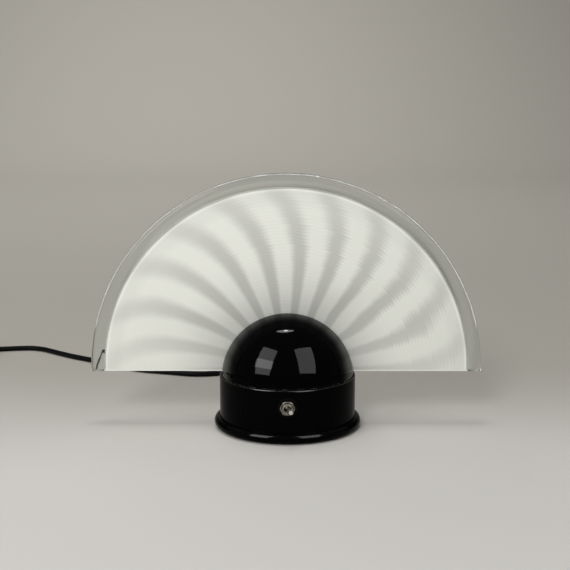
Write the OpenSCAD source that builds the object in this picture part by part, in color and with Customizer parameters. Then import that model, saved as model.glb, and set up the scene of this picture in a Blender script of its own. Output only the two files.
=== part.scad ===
// Art glass table lamp: a half disc of spun glass stands in the slot of a black dome,
// and the dome nests in a low drum with a half-round foot, a toggle switch and a mains cord.

/* [Base] */
// Outer diameter of the drum
drum_d = 82; // [78:0.5:92]
// Height of the drum's rim above the table
rim_h = 31.8; // [31:0.2:38]
// Wall of the drum above its inner ledge
rim_wall = 0.8; // [0.8:0.1:1.4]
// Wall of the drum below its inner ledge
drum_wall = 3; // [2.6:0.1:3.6]
// Rounding of the rim's outer edge
rim_round = 0.8; // [0.4:0.1:0.8]
// How far the foot ring stands out from the drum
ring_out = 3.4; // [2.6:0.1:4.2]
// Height of the half-round foot ring
ring_h = 6.2; // [5.6:0.2:7]
// Thickness of the ring's inner lip, under the drum
lip_t = 2; // [1.5:0.1:2.5]
// Thickness of the bottom plate
bottom_t = 1.2; // [0.8:0.1:1.6]
// Thickness of the felt pad
pad_t = 1.6; // [1.4:0.1:2]
// How far the pad stands below the foot ring
pad_proud = 0.3; // [0.1:0.1:0.6]
// Thickness of the deck plate on the ledge
deck_t = 1.5; // [1:0.1:2]
// Distance of the standoffs' axes from the drum's inner wall
standoff_in = 8; // [7:0.5:10]
// Width of a hexagonal standoff across its corners
standoff_d = 6; // [5:0.5:6.5]

/* [Dome] */
// Clearance between the dome and the drum's bore
dome_gap = 0.3; // [0.3:0.05:0.6]
// Wall of the dome
dome_wall = 1.5; // [1.2:0.1:2]
// Depth of the dome's lower edge below the rim
dome_sink = 3.6; // [2.8:0.1:4.2]
// Height of the straight skirt under the dome's hemisphere
dome_skirt = 1.6; // [1:0.1:2.4]
// Clearance on each side of the glass in the slot
slot_gap = 0.4; // [0.3:0.05:0.8]
// Thickness of the rubber seats in the slot's floor
seat_t = 0.8; // [0.5:0.1:1.2]

/* [Glass] */
// Outer diameter of the glass disc that the pane is half of
pane_d = 235.6; // [200:1:260]
// Width of the clear rim
clear_w = 8.2; // [6:0.2:11]
// Thickness of the white core
core_t = 6; // [5:0.2:7.5]
// Thickness of the clear rim's bead
bead_t = 7.6; // [6.4:0.2:9]
// Height of the cut edge above the drum's rim
edge_above = 2; // [0.8:0.1:2.4]
// Height of the disc's centre above the cut edge
centre_above = 1.5; // [0:0.1:5]
// Shift of the glass along its slot
pane_x = -0.9; // [-1.5:0.1:1.5]
// Clearance of the notch around the bulb
notch_gap = 6.2; // [5:0.2:8]
// Clearance of the notch above the bulb
notch_over = 3.5; // [2:0.1:4]

/* [Bulb] */
// Diameter of the glass capsule
bulb_d = 13.5; // [12:0.5:15]
// Length of the bulb above its holder
bulb_len = 33; // [30:0.5:34]
// Wall of the capsule
bulb_wall = 1; // [0.6:0.1:1.4]
// Distance between the two pins
pin_gap = 9; // [8:0.5:10]
// Diameter of a pin
pin_d = 1; // [0.8:0.1:1.2]
// Diameter of the ceramic holder
holder_d = 18; // [16:0.5:20]
// Height of the ceramic holder
holder_h = 15; // [12:0.5:16]

/* [Switch] */
// Depth of the switch axis below the drum's rim
switch_drop = 9.8; // [9.7:0.1:10.6]
// Turn of the switch about its own axis
switch_roll = 4; // [0:1:6]
// Throw of the lever to each side
lever_throw = 10; // [6:0.5:11]
// Length of the lever beyond the bushing
lever_len = 7; // [6:0.5:10]
// Diameter of the threaded bushing
bush_d = 6.35; // [6:0.05:7]
// How far the bushing stands out of its nut
bush_proud = 1.5; // [1:0.1:2.5]
// Width of the nut across its flats
nut_af = 8; // [7.8:0.1:9]
// Thickness of the nut
nut_t = 2; // [1.5:0.1:2.5]
// Diameter of the black washer under the nut
washer_d = 11.6; // [10:0.2:13]
// Thickness of that washer
washer_t = 0.8; // [0.5:0.1:1.2]
// Width of the switch body
body_w = 13.2; // [12:0.2:14]
// Height of the switch body
body_h = 7.2; // [6.8:0.1:7.4]
// Depth of the switch body
body_depth = 9.4; // [8.8:0.1:11]

/* [Cord] */
// Diameter of the cord
cord_d = 3.6; // [3.2:0.1:3.8]
// Length of the tapered strain relief
relief_len = 24; // [20:1:40]
// Diameter of an insulated wire
wire_d = 1.6; // [1.2:0.1:1.8]
// Space between neighbouring turns of the coil
coil_space = 1.2; // [1.1:0.05:1.5]
// Thickness of the coil's tie
tie_t = 0.6; // [0.4:0.1:1]
// Width of the coil's tie
tie_w = 6; // [4:0.5:8]

/* [Hidden] */
$fn = 96;
// Clearance of a screw, pin or wire in its own hole
fit_gap = 0.05;
// Gap under a piece that lifts off
rest_gap = 0.05;
// Amount that a cut runs past a face
past = 1;

// Heights in the base, from the table up
drum_r = drum_d / 2;
inner_r = drum_r - drum_wall;
bore_r = drum_r - rim_wall;
ring_top = pad_proud + ring_h;
plate_z = pad_t;
plate_top = plate_z + bottom_t;
lip_top = plate_top + lip_t;
deck_top = rim_h - dome_sink;
ledge_z = deck_top - deck_t;
plate_gap = 0.15;
lip_grip = 3;
pad_inset = 1;

// Machine screws and standoffs
screw_r = 1.2;
head_r = 2.6;
head_h = 1.2;
head_gap = 0.6;
screw_grip = 6;
tap_len = screw_grip + 1;
tap_r = screw_r + fit_gap;
standoff_angles = [45, 135, 225, 315];
standoff_at = inner_r - standoff_in;

// Dome and slot
dome_r = bore_r - dome_gap;
dome_in = dome_r - dome_wall;
dome_z = deck_top + dome_skirt;
slot_w = core_t + 2 * slot_gap;
edge_z = rim_h + edge_above;
slot_floor = edge_z - rest_gap - seat_t;
seat_in = 1.5;

// Glass
pane_r = pane_d / 2;
core_r = pane_r - clear_w;
bead_swell = 2;
pane_z = edge_z + centre_above;

// Bulb and holder, on the lamp's axis
holder_drop = 0.7;
holder_top = ledge_z - holder_drop;
holder_z = holder_top - holder_h;
pin_len = 6;
pinch_h = 8;
pinch_x = 4.4;
pinch_side = 1.5;
pinch_y = pin_gap + 2 * pinch_side;
bulb_r = bulb_d / 2;
bulb_neck = bulb_len - bulb_r - pinch_h;
bulb_top = holder_top + bulb_len;
contact_r = 1.2;
contact_drop = 1;
post_y = 2;
post_r = 0.3;
filament_t = 0.8;
notch_r = bulb_r + notch_gap;
notch_top = bulb_top + notch_over;
strap_t = 1;
strap_gap = 0.7;
strap_w = pin_gap - wire_d - 2 * strap_gap;
leg_gap = 5;
leg_x = holder_d / 2 + leg_gap;
bracket_foot = 8;
foot_grip = 2;
holder_grip = 5;
holder_gap = 1.5;
deck_hole_r = holder_d / 2 + holder_gap;
vent_r = 3;
vent_at = 22;
vent_angle = 35;

// Switch: the y values run from the drum's front inwards
front_y = -drum_r;
switch_z = rim_h - switch_drop;
bush_r = bush_d / 2;
mouth_y = front_y - washer_t - nut_t - bush_proud;
body_half = body_w / 2 * cos(switch_roll) + body_h / 2 * sin(switch_roll);
frame_gap = 0.1;
frame_y = frame_gap - sqrt(pow(inner_r, 2) - pow(body_half, 2));
frame_t = 0.6;
body_y = frame_y + frame_t;
body_back = body_y + body_depth;
body_wall = 1.2;
floor_t = 2;
pivot_y = mouth_y + 5;
ball_r = 2.2;
ball_gap = 0.08;
pivot_r = 0.5;
pivot_gap = 0.06;
pivot_len = bush_d - 0.2;
neck_r = 0.8;
tip_r = 1.25;
mouth_r = 2;
throat_r = 1.7;
socket_front = pivot_y - 1.6;
throat_front = socket_front - 1;
lock_t = 0.4;
lock_r = 4.4;
tail_r = 1.2;
plunger_r = 0.7;
plunger_len = 8;
plunger_in = 5;
plunger_out = 3;
tip_edge = 0.3;
contact_gap = 0.3;
lug_gap = 0.25;
hub_r = 0.6;
hub_gap = 0.05;
rocker_t = 0.5;
rocker_w = 8.4;
rocker_h = 3.4;
rocker_y = pivot_y + plunger_len + contact_gap + rocker_t / 2;
rocker_tilt = 0.8 * lever_throw;
lug_x = 3.6;
lug_t = 0.8;
lug_h = 2.2;
lug_len = 4;
lug_y = body_back + lug_len;

// Terminal block under the deck, behind the holder
block_w = 16;
block_l = 12;
block_h = 11;
block_gap = 13;
block_back = inner_r - block_gap;
block_front = block_back - block_l;
block_mid = (block_front + block_back) / 2;
way_x = 4;
way_z = ledge_z - block_h / 2;
insert_r = 2.2;
insert_l = 10;
way_r = wire_d / 2 + 0.5;
clamp_y = 3;
clamp_gap = 0.4;
clamp_in = 0.5;
wire_in = 2.6;

// Cord entry at the back
cord_r = cord_d / 2;
wire_r = wire_d / 2;
gland_wall = 2.2;
gland_r = cord_r + gland_wall;
flange_out = 1.5;
flange_r = gland_r + flange_out;
flange_t = 2;
tip_wall = 0.8;
relief_tip = cord_r + tip_wall;
gland_lift = 3.1;
gland_z = ring_top + flange_r + gland_lift;
gland_end = drum_r + flange_t + relief_len;
gland_nut_out = 2.2;
nut_r = gland_r + gland_nut_out;
gland_nut_t = 3;
gland_nut_y = sqrt(pow(inner_r, 2) - pow(nut_r, 2)) - gland_nut_t - fit_gap;
gland_tail = 0.5;
jacket_tail = 4.4;
jacket_end = gland_nut_y - jacket_tail;
core_x = 0.85;

// Route of the cord on the table, from the strain relief to the coil
lie_gap = 0.1;
lie = cord_r + lie_gap;
cord_route = [
    [0, gland_end, gland_z], [0, gland_end + cord_d, gland_z],
    [-0.3, 77.5, 14.2], [-2, 87.5, 11.2], [-6.5, 98, 7.2], [-14, 107.5, 4], [-23.5, 114.5, 2.3],
    [-33.5, 118, lie], [-43, 117.6, lie], [-52, 115.5, lie], [-60, 113.9, lie], [-69, 114.5, lie],
    [-80, 118, lie], [-92, 121.6, lie], [-104, 125.6, lie], [-118, 134.8, lie], [-132, 145, lie],
    [-146.5, 156, lie], [-160.5, 166.2, lie], [-172, 175.8, lie], [-181, 184, lie], [-188, 189.6, lie],
    [-196, 192.8, lie], [-205, 192.6, lie], [-214, 191, lie], [-222, 189.5, lie], [-235, 187.5, lie]
];

// Coil of the length that is put away: four layers that spiral in and out by turns
coil_centre = [-250, 158, 0];
coil_start = 110;
loop_steps = 24;
layer_steps = 58;
climb_steps = loop_steps / 2;
layers = 4;
coil_pitch = cord_d + coil_space;
coil_in = 4 * cord_d;
coil_out = coil_in + coil_pitch * layer_steps / loop_steps;
tie_gap = 0.8;
tie_under = 0.2;
tie_angle = 300;
coil_z = tie_t + tie_under + cord_r;
coil_steps = layers * layer_steps + (layers - 1) * climb_steps;
coil_turns = [for (i = [0:coil_steps]) coil_point(i)];
coil_points = concat(
    [coil_turns[0] - cord_d * heading(coil_turns, 0)],
    coil_turns,
    [coil_turns[coil_steps] + cord_d * heading(coil_turns, coil_steps)]
);
coil_first = coil_points[0];
coil_last = coil_points[coil_steps + 2];

// Plug, lying beside the coil
plug_x = -279;
plug_y = 116;
plug_w = 21;
plug_h = 14;
plug_l = 24;
plug_relief = 18;
plug_round = 3;
blade_x = 6.35;
blade_t = 1.5;
blade_h = 6.3;
blade_l = 17;
blade_hole_r = 1.5;
blade_hole_at = 3;
tail_route = [
    coil_last, coil_last + cord_d * heading(coil_turns, coil_steps),
    [plug_x + 0.8, 142, 13.6], [plug_x, 130, 9.2],
    [plug_x, plug_y + cord_d, plug_h / 2], [plug_x, plug_y, plug_h / 2]
];

// Curves and tubes
function unit(v) = v / norm(v);
function along(p, i) = p[min(i + 1, len(p) - 1)] - p[max(i - 1, 0)];
function heading(p, i) = unit(along(p, i));
function blend(a, b, c, d, t) =
    (2 * b + (c - a) * t + (2 * a - 5 * b + 4 * c - d) * t * t + (3 * b - a - 3 * c + d) * t * t * t) / 2;
// A smooth curve through the points, whose first and last stretches stay straight
function curve(p, n) = let (last = len(p) - 1) concat(
    [p[0]],
    [for (i = [1:last - 2]) for (k = [0:n - 1]) blend(p[i - 1], p[i], p[i + 1], p[i + 2], k / n)],
    [p[last - 1], p[last]]
);
function ease(u) = (1 - cos(180 * u)) / 2;
function coil_radius(layer, step) =
    layer % 2 == 0
    ? coil_out - coil_pitch * min(step, layer_steps) / loop_steps
    : coil_in + coil_pitch * min(step, layer_steps) / loop_steps;
function coil_point(i) =
    let (
        layer = floor(i / (layer_steps + climb_steps)),
        step = i - layer * (layer_steps + climb_steps),
        climb = ease(max(step - layer_steps, 0) / climb_steps),
        r = coil_radius(layer, step),
        a = coil_start + 360 * i / loop_steps
    )
    coil_centre + [r * cos(a), r * sin(a), coil_z + coil_pitch * (layer + climb)];
function least_gap(p, d) = min([
    for (i = [0:len(p) - 1]) for (j = [i + climb_steps:1:len(p) - 1]) norm(p[i] - p[j]) - d
]);

module tube(p, r, sides, up = [0, 0, 1]) {
    last = len(p) - 1;
    rings = [
        for (i = [0:last])
            let (t = heading(p, i), side = unit(cross(t, up)), rise = cross(side, t))
            for (k = [0:sides - 1])
                let (a = 360 * (k + 0.5) / sides)
                p[i] + r * (cos(a) * side + sin(a) * rise)
    ];
    walls = [
        for (i = [0:last - 1]) for (k = [0:sides - 1])
            let (a = i * sides + k, b = i * sides + (k + 1) % sides)
            each [[a, b, b + sides], [a, b + sides, a + sides]]
    ];
    near_cap = [for (k = [1:sides - 2]) [0, k + 1, k]];
    end = last * sides;
    far_cap = [for (k = [1:sides - 2]) [end, end + k, end + k + 1]];
    polyhedron(rings, concat(walls, near_cap, far_cap));
}

// A round bar along the y axis, from y0 to y1
module bar(r, y0, y1, r_end = -1) {
    translate([0, y0, 0]) rotate([-90, 0, 0]) cylinder(h = y1 - y0, r1 = r, r2 = r_end < 0 ? r : r_end);
}

// A block centred on x and z, from y0 to y1
module slab(w, y0, y1, h) {
    translate([-w / 2, y0, -h / 2]) cube([w, y1 - y0, h]);
}

// A machine screw with a round head above z = 0 and a shank below
module screw(shank) {
    cylinder(h = head_h, r = head_r);
    translate([0, 0, -shank]) cylinder(h = shank, r = screw_r);
}

module at_standoffs() {
    for (a = standoff_angles) rotate([0, 0, a]) translate([standoff_at, 0, 0]) children();
}

module at_bracket_feet() {
    for (s = [-1, 1]) translate([s * (leg_x + bracket_foot / 2), 0, 0]) children();
}

module at_switch() {
    translate([0, 0, switch_z]) rotate([0, switch_roll, 0]) children();
}

module at_gland() {
    translate([0, 0, gland_z]) children();
}

function switch_point(x, y) = [x * cos(switch_roll), y, switch_z - x * sin(switch_roll)];

// Base, from the table up

module foot_pad() color([0.12, 0.12, 0.12]) difference() {
    cylinder(h = pad_t, r = inner_r - pad_inset);
    at_standoffs() translate([0, 0, -past]) cylinder(h = pad_t + 2 * past, r = head_r + head_gap);
}

module bottom_plate() color([0.2, 0.2, 0.2]) difference() {
    translate([0, 0, plate_z]) cylinder(h = bottom_t, r = inner_r);
    at_standoffs() translate([0, 0, plate_z - past]) cylinder(h = bottom_t + 2 * past, r = tap_r);
}

module bottom_screws() color([0.6, 0.6, 0.6])
    at_standoffs() translate([0, 0, plate_z]) rotate([180, 0, 0]) screw(bottom_t + screw_grip);

module foot_ring() color([0.03, 0.03, 0.03]) rotate_extrude() difference() {
    bead = ring_h / 2;
    bead_at = drum_r + ring_out - bead;
    lip_r = inner_r - lip_grip;
    union() {
        translate([bead_at, pad_proud + bead]) circle(r = bead);
        translate([lip_r, pad_proud]) square([bead_at - lip_r, lip_top - pad_proud]);
    }
    translate([0, lip_top]) square([drum_r + fit_gap, ring_h]);
    translate([0, pad_proud - past]) square([inner_r + plate_gap, plate_top - pad_proud + past]);
}

module drum() color([0.03, 0.03, 0.03]) difference() {
    rotate_extrude() difference() {
        union() {
            translate([0, lip_top]) square([drum_r, rim_h - rim_round - lip_top]);
            translate([0, lip_top]) square([drum_r - rim_round, rim_h - lip_top]);
            translate([drum_r - rim_round, rim_h - rim_round]) circle(r = rim_round);
        }
        translate([0, lip_top - past]) square([inner_r, ledge_z - lip_top + 2 * past]);
        translate([0, ledge_z]) square([bore_r, rim_h]);
    }
    at_switch() bar(bush_r + fit_gap, front_y - past, -inner_r + past);
    at_gland() bar(gland_r + fit_gap, inner_r - past, drum_r + past);
}

module deck_plate() color([0.45, 0.45, 0.45]) difference() {
    translate([0, 0, ledge_z]) cylinder(h = deck_t, r = bore_r - fit_gap);
    translate([0, 0, ledge_z - past]) {
        through = deck_t + 2 * past;
        cylinder(h = through, r = deck_hole_r);
        at_standoffs() cylinder(h = through, r = tap_r);
        at_bracket_feet() cylinder(h = through, r = tap_r);
        translate([0, block_mid, 0]) cylinder(h = through, r = tap_r);
        for (a = [-1, 1]) for (b = [0, 180])
            rotate([0, 0, b + a * vent_angle]) translate([vent_at, 0, 0]) cylinder(h = through, r = vent_r);
    }
}

module deck_screws() color([0.7, 0.7, 0.7])
    at_standoffs() translate([0, 0, deck_top]) screw(deck_t + screw_grip);

module standoffs() color([0.75, 0.7, 0.5]) at_standoffs() difference() {
    translate([0, 0, plate_top]) cylinder(h = ledge_z - plate_top, d = standoff_d, $fn = 6);
    translate([0, 0, plate_top - past]) cylinder(h = tap_len + past, r = tap_r);
    translate([0, 0, ledge_z - tap_len]) cylinder(h = tap_len + past, r = tap_r);
}

// Bulb, holder and bracket

module holder_bracket() color([0.6, 0.6, 0.6]) difference() {
    union() {
        translate([-leg_x - strap_t, -strap_w / 2, holder_z - strap_t])
            cube([2 * (leg_x + strap_t), strap_w, strap_t]);
        for (s = [0, 180]) rotate([0, 0, s]) {
            translate([leg_x, -strap_w / 2, holder_z - strap_t])
                cube([strap_t, strap_w, ledge_z - holder_z + strap_t]);
            translate([leg_x, -strap_w / 2, ledge_z - strap_t]) cube([bracket_foot, strap_w, strap_t]);
        }
    }
    translate([0, 0, holder_z - strap_t - past]) cylinder(h = strap_t + 2 * past, r = tap_r);
    at_bracket_feet() translate([0, 0, ledge_z - strap_t - past]) cylinder(h = strap_t + 2 * past, r = tap_r);
}

module bracket_screws() color([0.7, 0.7, 0.7])
    at_bracket_feet() translate([0, 0, deck_top]) screw(deck_t + strap_t + foot_grip);

module holder_screw() color([0.7, 0.7, 0.7])
    translate([0, 0, holder_z - strap_t]) rotate([180, 0, 0]) screw(strap_t + holder_grip);

module lamp_holder() color([0.92, 0.9, 0.85]) difference() {
    translate([0, 0, holder_z]) cylinder(h = holder_h, d = holder_d);
    translate([0, 0, holder_z - past]) cylinder(h = holder_grip + past, r = tap_r);
    for (s = [-1, 1]) translate([0, s * pin_gap / 2, holder_z - past])
        cylinder(h = holder_h + 2 * past, r = contact_r + fit_gap);
}

module holder_contacts() color([0.8, 0.65, 0.3])
    for (s = [-1, 1]) translate([0, s * pin_gap / 2, holder_z]) difference() {
        cylinder(h = holder_h - contact_drop, r = contact_r);
        translate([0, 0, holder_h - contact_drop - pin_len])
            cylinder(h = pin_len + past, r = pin_d / 2 + fit_gap);
    }

module bulb_glass() color([0.9, 0.95, 1, 0.5]) translate([0, 0, holder_top]) {
    translate([-pinch_x / 2, -pinch_y / 2, 0]) cube([pinch_x, pinch_y, pinch_h]);
    difference() {
        union() {
            translate([0, 0, pinch_h]) cylinder(h = bulb_neck, r = bulb_r);
            translate([0, 0, pinch_h + bulb_neck]) sphere(r = bulb_r);
        }
        translate([0, 0, pinch_h + bulb_wall]) cylinder(h = bulb_neck - bulb_wall, r = bulb_r - bulb_wall);
        translate([0, 0, pinch_h + bulb_neck]) sphere(r = bulb_r - bulb_wall);
    }
}

module bulb_filament() color([0.4, 0.4, 0.42]) translate([0, 0, holder_top + pinch_h + bulb_wall]) {
    leg = bulb_neck - bulb_wall;
    for (s = [-1, 1]) translate([0, s * post_y, 0]) cylinder(h = leg, r = post_r);
    translate([0, 0, leg - filament_t]) slab(filament_t, -post_y, post_y, filament_t);
}

module bulb_pins() color([0.7, 0.7, 0.7]) for (s = [-1, 1])
    translate([0, s * pin_gap / 2, holder_top - pin_len]) cylinder(h = pin_len, d = pin_d);

// Toggle switch, turned about its own axis

module switch_bushing() color([0.62, 0.6, 0.55]) at_switch() difference() {
    union() {
        bar(bush_r, mouth_y, frame_y + frame_t);
        slab(body_w, frame_y, frame_y + frame_t, body_h);
    }
    bar(ball_r + ball_gap, socket_front, frame_y + frame_t + past);
    bar(throat_r, throat_front, socket_front, ball_r + ball_gap);
    bar(mouth_r, mouth_y, throat_front, throat_r);
    translate([0, pivot_y, 0]) cylinder(h = bush_d + 2 * past, r = pivot_r + fit_gap, center = true);
}

module lever_pin() color([0.7, 0.7, 0.7]) at_switch()
    translate([0, pivot_y, 0]) cylinder(h = pivot_len, r = pivot_r, center = true);

module switch_body() color([0.25, 0.1, 0.08]) at_switch() difference() {
    slab(body_w, body_y, body_back, body_h);
    slab(body_w - 2 * body_wall, body_y - past, body_back - floor_t, body_h - 2 * body_wall);
    for (x = [-lug_x, 0, lug_x]) translate([x, 0, 0])
        slab(lug_t + 2 * fit_gap, body_back - floor_t - past, body_back + past, lug_h + 2 * fit_gap);
}

module switch_terminals() color([0.8, 0.8, 0.78]) at_switch() {
    side_top = rocker_y + rocker_t / 2 + lug_x * sin(rocker_tilt) + lug_gap;
    for (x = [-lug_x, lug_x]) translate([x, 0, 0]) slab(lug_t, side_top, lug_y, lug_h);
    difference() {
        slab(lug_t, rocker_y + rocker_t, lug_y, lug_h);
        translate([0, rocker_y, 0]) cylinder(h = lug_h + 2 * past, r = hub_r + hub_gap, center = true);
    }
}

module lock_washer() color([0.7, 0.7, 0.7]) at_switch() difference() {
    bar(lock_r, frame_y - lock_t, frame_y);
    bar(bush_r + fit_gap, frame_y - lock_t - past, frame_y + past);
}

module face_washer() color([0.05, 0.05, 0.05]) at_switch() difference() {
    bar(washer_d / 2, front_y - washer_t, front_y);
    bar(bush_r + fit_gap, front_y - washer_t - past, front_y + past);
}

module switch_nut() color([0.62, 0.6, 0.55]) at_switch() difference() {
    nut_y = front_y - washer_t - nut_t;
    translate([0, nut_y, 0]) rotate([-90, 0, 0]) cylinder(h = nut_t, r = nut_af / 2 / cos(30), $fn = 6);
    bar(bush_r + fit_gap, nut_y - past, nut_y + nut_t + past);
}

module at_lever() at_switch() translate([0, pivot_y, 0]) rotate([0, 0, lever_throw]) children();

module switch_lever() color([0.8, 0.79, 0.75]) at_lever() {
    reach = pivot_y - mouth_y + lever_len;
    difference() {
        union() {
            sphere(r = ball_r);
            bar(tail_r, 0, plunger_len - plunger_out);
            bar(neck_r, mouth_y - pivot_y, 0);
        }
        bar(plunger_r + fit_gap, plunger_len - plunger_in, plunger_len);
        cylinder(h = 2 * (ball_r + past), r = pivot_r + pivot_gap, center = true);
    }
    bar(tip_r, tip_edge - reach, mouth_y - pivot_y, neck_r);
    bar(tip_r - tip_edge, -reach, tip_edge - reach, tip_r);
}

module lever_plunger() color([0.9, 0.9, 0.88]) at_lever() {
    bar(plunger_r, plunger_len - plunger_in, plunger_len - plunger_r);
    translate([0, plunger_len - plunger_r, 0]) sphere(r = plunger_r);
}

module contact_rocker() color([0.8, 0.6, 0.35]) at_switch()
    translate([0, rocker_y, 0]) rotate([0, 0, -rocker_tilt]) {
        slab(rocker_w, -rocker_t / 2, rocker_t / 2, rocker_h);
        intersection() {
            cylinder(h = rocker_h, r = hub_r, center = true);
            slab(2 * hub_r, 0, hub_r + past, rocker_h);
        }
    }

// Terminal block and wires

module terminal_block() color([0.85, 0.85, 0.8]) difference() {
    translate([-block_w / 2, block_front, ledge_z - block_h]) cube([block_w, block_l, block_h]);
    for (s = [-1, 1]) {
        translate([s * way_x, 0, way_z]) bar(insert_r + fit_gap, block_front - past, block_back + past);
        for (e = [-1, 1]) translate([s * way_x, block_mid + e * clamp_y, ledge_z - block_h - past])
            cylinder(h = block_h / 2 + past, r = screw_r + clamp_gap);
    }
    translate([0, block_mid, ledge_z - tap_len]) cylinder(h = tap_len + past, r = tap_r);
}

module terminal_inserts() color([0.8, 0.65, 0.3])
    for (s = [-1, 1]) translate([s * way_x, block_mid, way_z]) difference() {
        bar(insert_r, -insert_l / 2, insert_l / 2);
        bar(way_r, -insert_l / 2 - past, insert_l / 2 + past);
        for (e = [-1, 1]) translate([0, e * clamp_y, -insert_r - past])
            cylinder(h = insert_r + past, r = tap_r);
    }

module terminal_screws() color([0.8, 0.65, 0.3]) for (s = [-1, 1]) for (e = [-1, 1])
    translate([s * way_x, block_mid + e * clamp_y, ledge_z - block_h + clamp_in])
        cylinder(h = block_h / 2 - clamp_in - wire_r - fit_gap, r = screw_r);

module block_screw() color([0.7, 0.7, 0.7]) translate([0, block_mid, deck_top]) screw(deck_t + screw_grip);

// Live wire, past the bracket's left leg to the switch's middle lug
module lead_line() color([0.45, 0.25, 0.12]) tube(curve([
    [-way_x, block_front + wire_in, way_z], [-way_x, block_front - 1, way_z],
    [-leg_x + 3, holder_d / 2, way_z - 1], [-leg_x - 4, 3, way_z - 2],
    [-leg_x - 4, -5, way_z - 2], [-leg_x + 3, lug_y + 8, switch_z - 1],
    [-3, lug_y + 4.4, switch_z], switch_point(0, lug_y + wire_d), switch_point(0, lug_y)
], 3), wire_r, 8);

// Switched wire, from the right lug to the holder's front contact
module lead_switched() color([0.45, 0.25, 0.12]) tube(curve([
    switch_point(lug_x, lug_y), switch_point(lug_x, lug_y + wire_d),
    [lug_x, lug_y + 6, switch_z - 5], [2.4, -holder_d / 2 - 3, holder_z + 1],
    [1, -holder_d / 2 + 0.5, holder_z - 3.6], [0.2, -pin_gap / 2 - 1.2, holder_z - 3.6],
    [0, -pin_gap / 2, holder_z - wire_d], [0, -pin_gap / 2, holder_z]
], 3), wire_r, 8, [1, 0, 0]);

// Neutral wire, from the terminal block to the holder's back contact
module lead_neutral() color([0.15, 0.3, 0.6]) tube(curve([
    [way_x, block_front + wire_in, way_z], [way_x, block_front - 0.6, way_z],
    [way_x - 0.2, holder_d / 2 + 1.8, way_z - 1.6], [way_x - 0.8, holder_d / 2 + 1.6, way_z - 6],
    [2, holder_d / 2 + 1.3, holder_z], [1, holder_d / 2 - 0.8, holder_z - 3.4],
    [0.2, pin_gap / 2 + 1.2, holder_z - 3.6],
    [0, pin_gap / 2, holder_z - wire_d], [0, pin_gap / 2, holder_z]
], 3), wire_r, 8, [1, 0, 0]);

// The cord's two wires, from the end of its jacket to the terminal block
module cord_cores() color([0.3, 0.3, 0.32]) for (s = [-1, 1]) tube(curve([
    [s * core_x, jacket_end, gland_z], [s * core_x, jacket_end - wire_r, gland_z],
    [s * (core_x + way_x) / 2, (jacket_end + block_back) / 2, (gland_z + way_z) / 2],
    [s * way_x, block_back + 0.6, way_z], [s * way_x, block_back - wire_in, way_z]
], 3), wire_r, 8, [1, 0, 0]);

// Mains cord, its gland and its plug

module cord_inner() color([0.04, 0.04, 0.04]) at_gland() bar(cord_r, jacket_end, gland_end);

module cord_gland() color([0.06, 0.06, 0.06]) at_gland() difference() {
    union() {
        bar(gland_r, gland_nut_y - gland_tail, drum_r + flange_t);
        bar(flange_r, drum_r, drum_r + flange_t);
        bar(gland_r, drum_r + flange_t, gland_end, relief_tip);
    }
    bar(cord_r + fit_gap, gland_nut_y - past, gland_end + past);
}

module gland_nut() color([0.1, 0.1, 0.1]) at_gland() difference() {
    translate([0, gland_nut_y, 0]) rotate([-90, 0, 0]) cylinder(h = gland_nut_t, r = nut_r, $fn = 6);
    bar(gland_r + fit_gap, gland_nut_y - past, gland_nut_y + gland_nut_t + past);
}

module cord_lead() color([0.04, 0.04, 0.04])
    tube(curve(concat(cord_route, [coil_first - cord_d * heading(coil_turns, 0), coil_first]), 2), cord_r, 8);

module cord_coil() color([0.04, 0.04, 0.04]) {
    echo(least_coil_gap = least_gap(coil_turns, cord_d));
    tube(coil_points, cord_r, 6);
}

module cord_tail() color([0.04, 0.04, 0.04]) tube(curve(tail_route, 2), cord_r, 8);

module coil_tie() color([0.1, 0.1, 0.1]) translate(coil_centre) rotate([0, 0, tie_angle]) difference() {
    inside = coil_in - cord_r - tie_gap;
    span = coil_out + cord_r + tie_gap - inside;
    height = coil_z + coil_pitch * (layers - 1) + cord_r + tie_gap;
    translate([inside - tie_t, -tie_w / 2, 0]) cube([span + 2 * tie_t, tie_w, height + tie_t]);
    translate([inside, -tie_w / 2 - past, tie_t]) cube([span, tie_w + 2 * past, height - tie_t]);
}

module plug_body() color([0.05, 0.05, 0.05]) translate([plug_x, plug_y - plug_relief, plug_h / 2]) {
    bar(gland_r, 0, plug_relief, relief_tip);
    translate([0, -plug_l, -plug_h / 2]) linear_extrude(plug_h) {
        translate([-plug_w / 2, plug_round]) square([plug_w, plug_l - 2 * plug_round]);
        translate([-plug_w / 2 + plug_round, 0]) square([plug_w - 2 * plug_round, plug_l]);
        for (s = [-1, 1]) for (y = [plug_round, plug_l - plug_round])
            translate([s * (plug_w / 2 - plug_round), y]) circle(r = plug_round);
    }
}

module plug_blades() color([0.8, 0.7, 0.45]) translate([plug_x, plug_y - plug_relief - plug_l, plug_h / 2])
    for (s = [-1, 1]) translate([s * blade_x, 0, 0]) difference() {
        slab(blade_t, -blade_l, 0, blade_h);
        translate([-blade_t, blade_hole_at - blade_l, 0]) rotate([0, 90, 0])
            cylinder(h = 2 * blade_t, r = blade_hole_r);
    }

// Dome and glass, which lift off

module dome() color([0.02, 0.02, 0.02]) difference() {
    dome_form(dome_r);
    dome_form(dome_in);
    translate([-dome_r - past, -dome_r - past, deck_top - dome_r - past])
        cube([2 * (dome_r + past), 2 * (dome_r + past), dome_r + past + rest_gap]);
    translate([-dome_r - past, -slot_w / 2, slot_floor]) cube([2 * (dome_r + past), slot_w, dome_r + past]);
}

// A ball on a straight skirt that runs down past the deck
module dome_form(r) {
    translate([0, 0, dome_z]) sphere(r = r);
    translate([0, 0, deck_top - past]) cylinder(h = dome_skirt + past, r = r);
}

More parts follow.
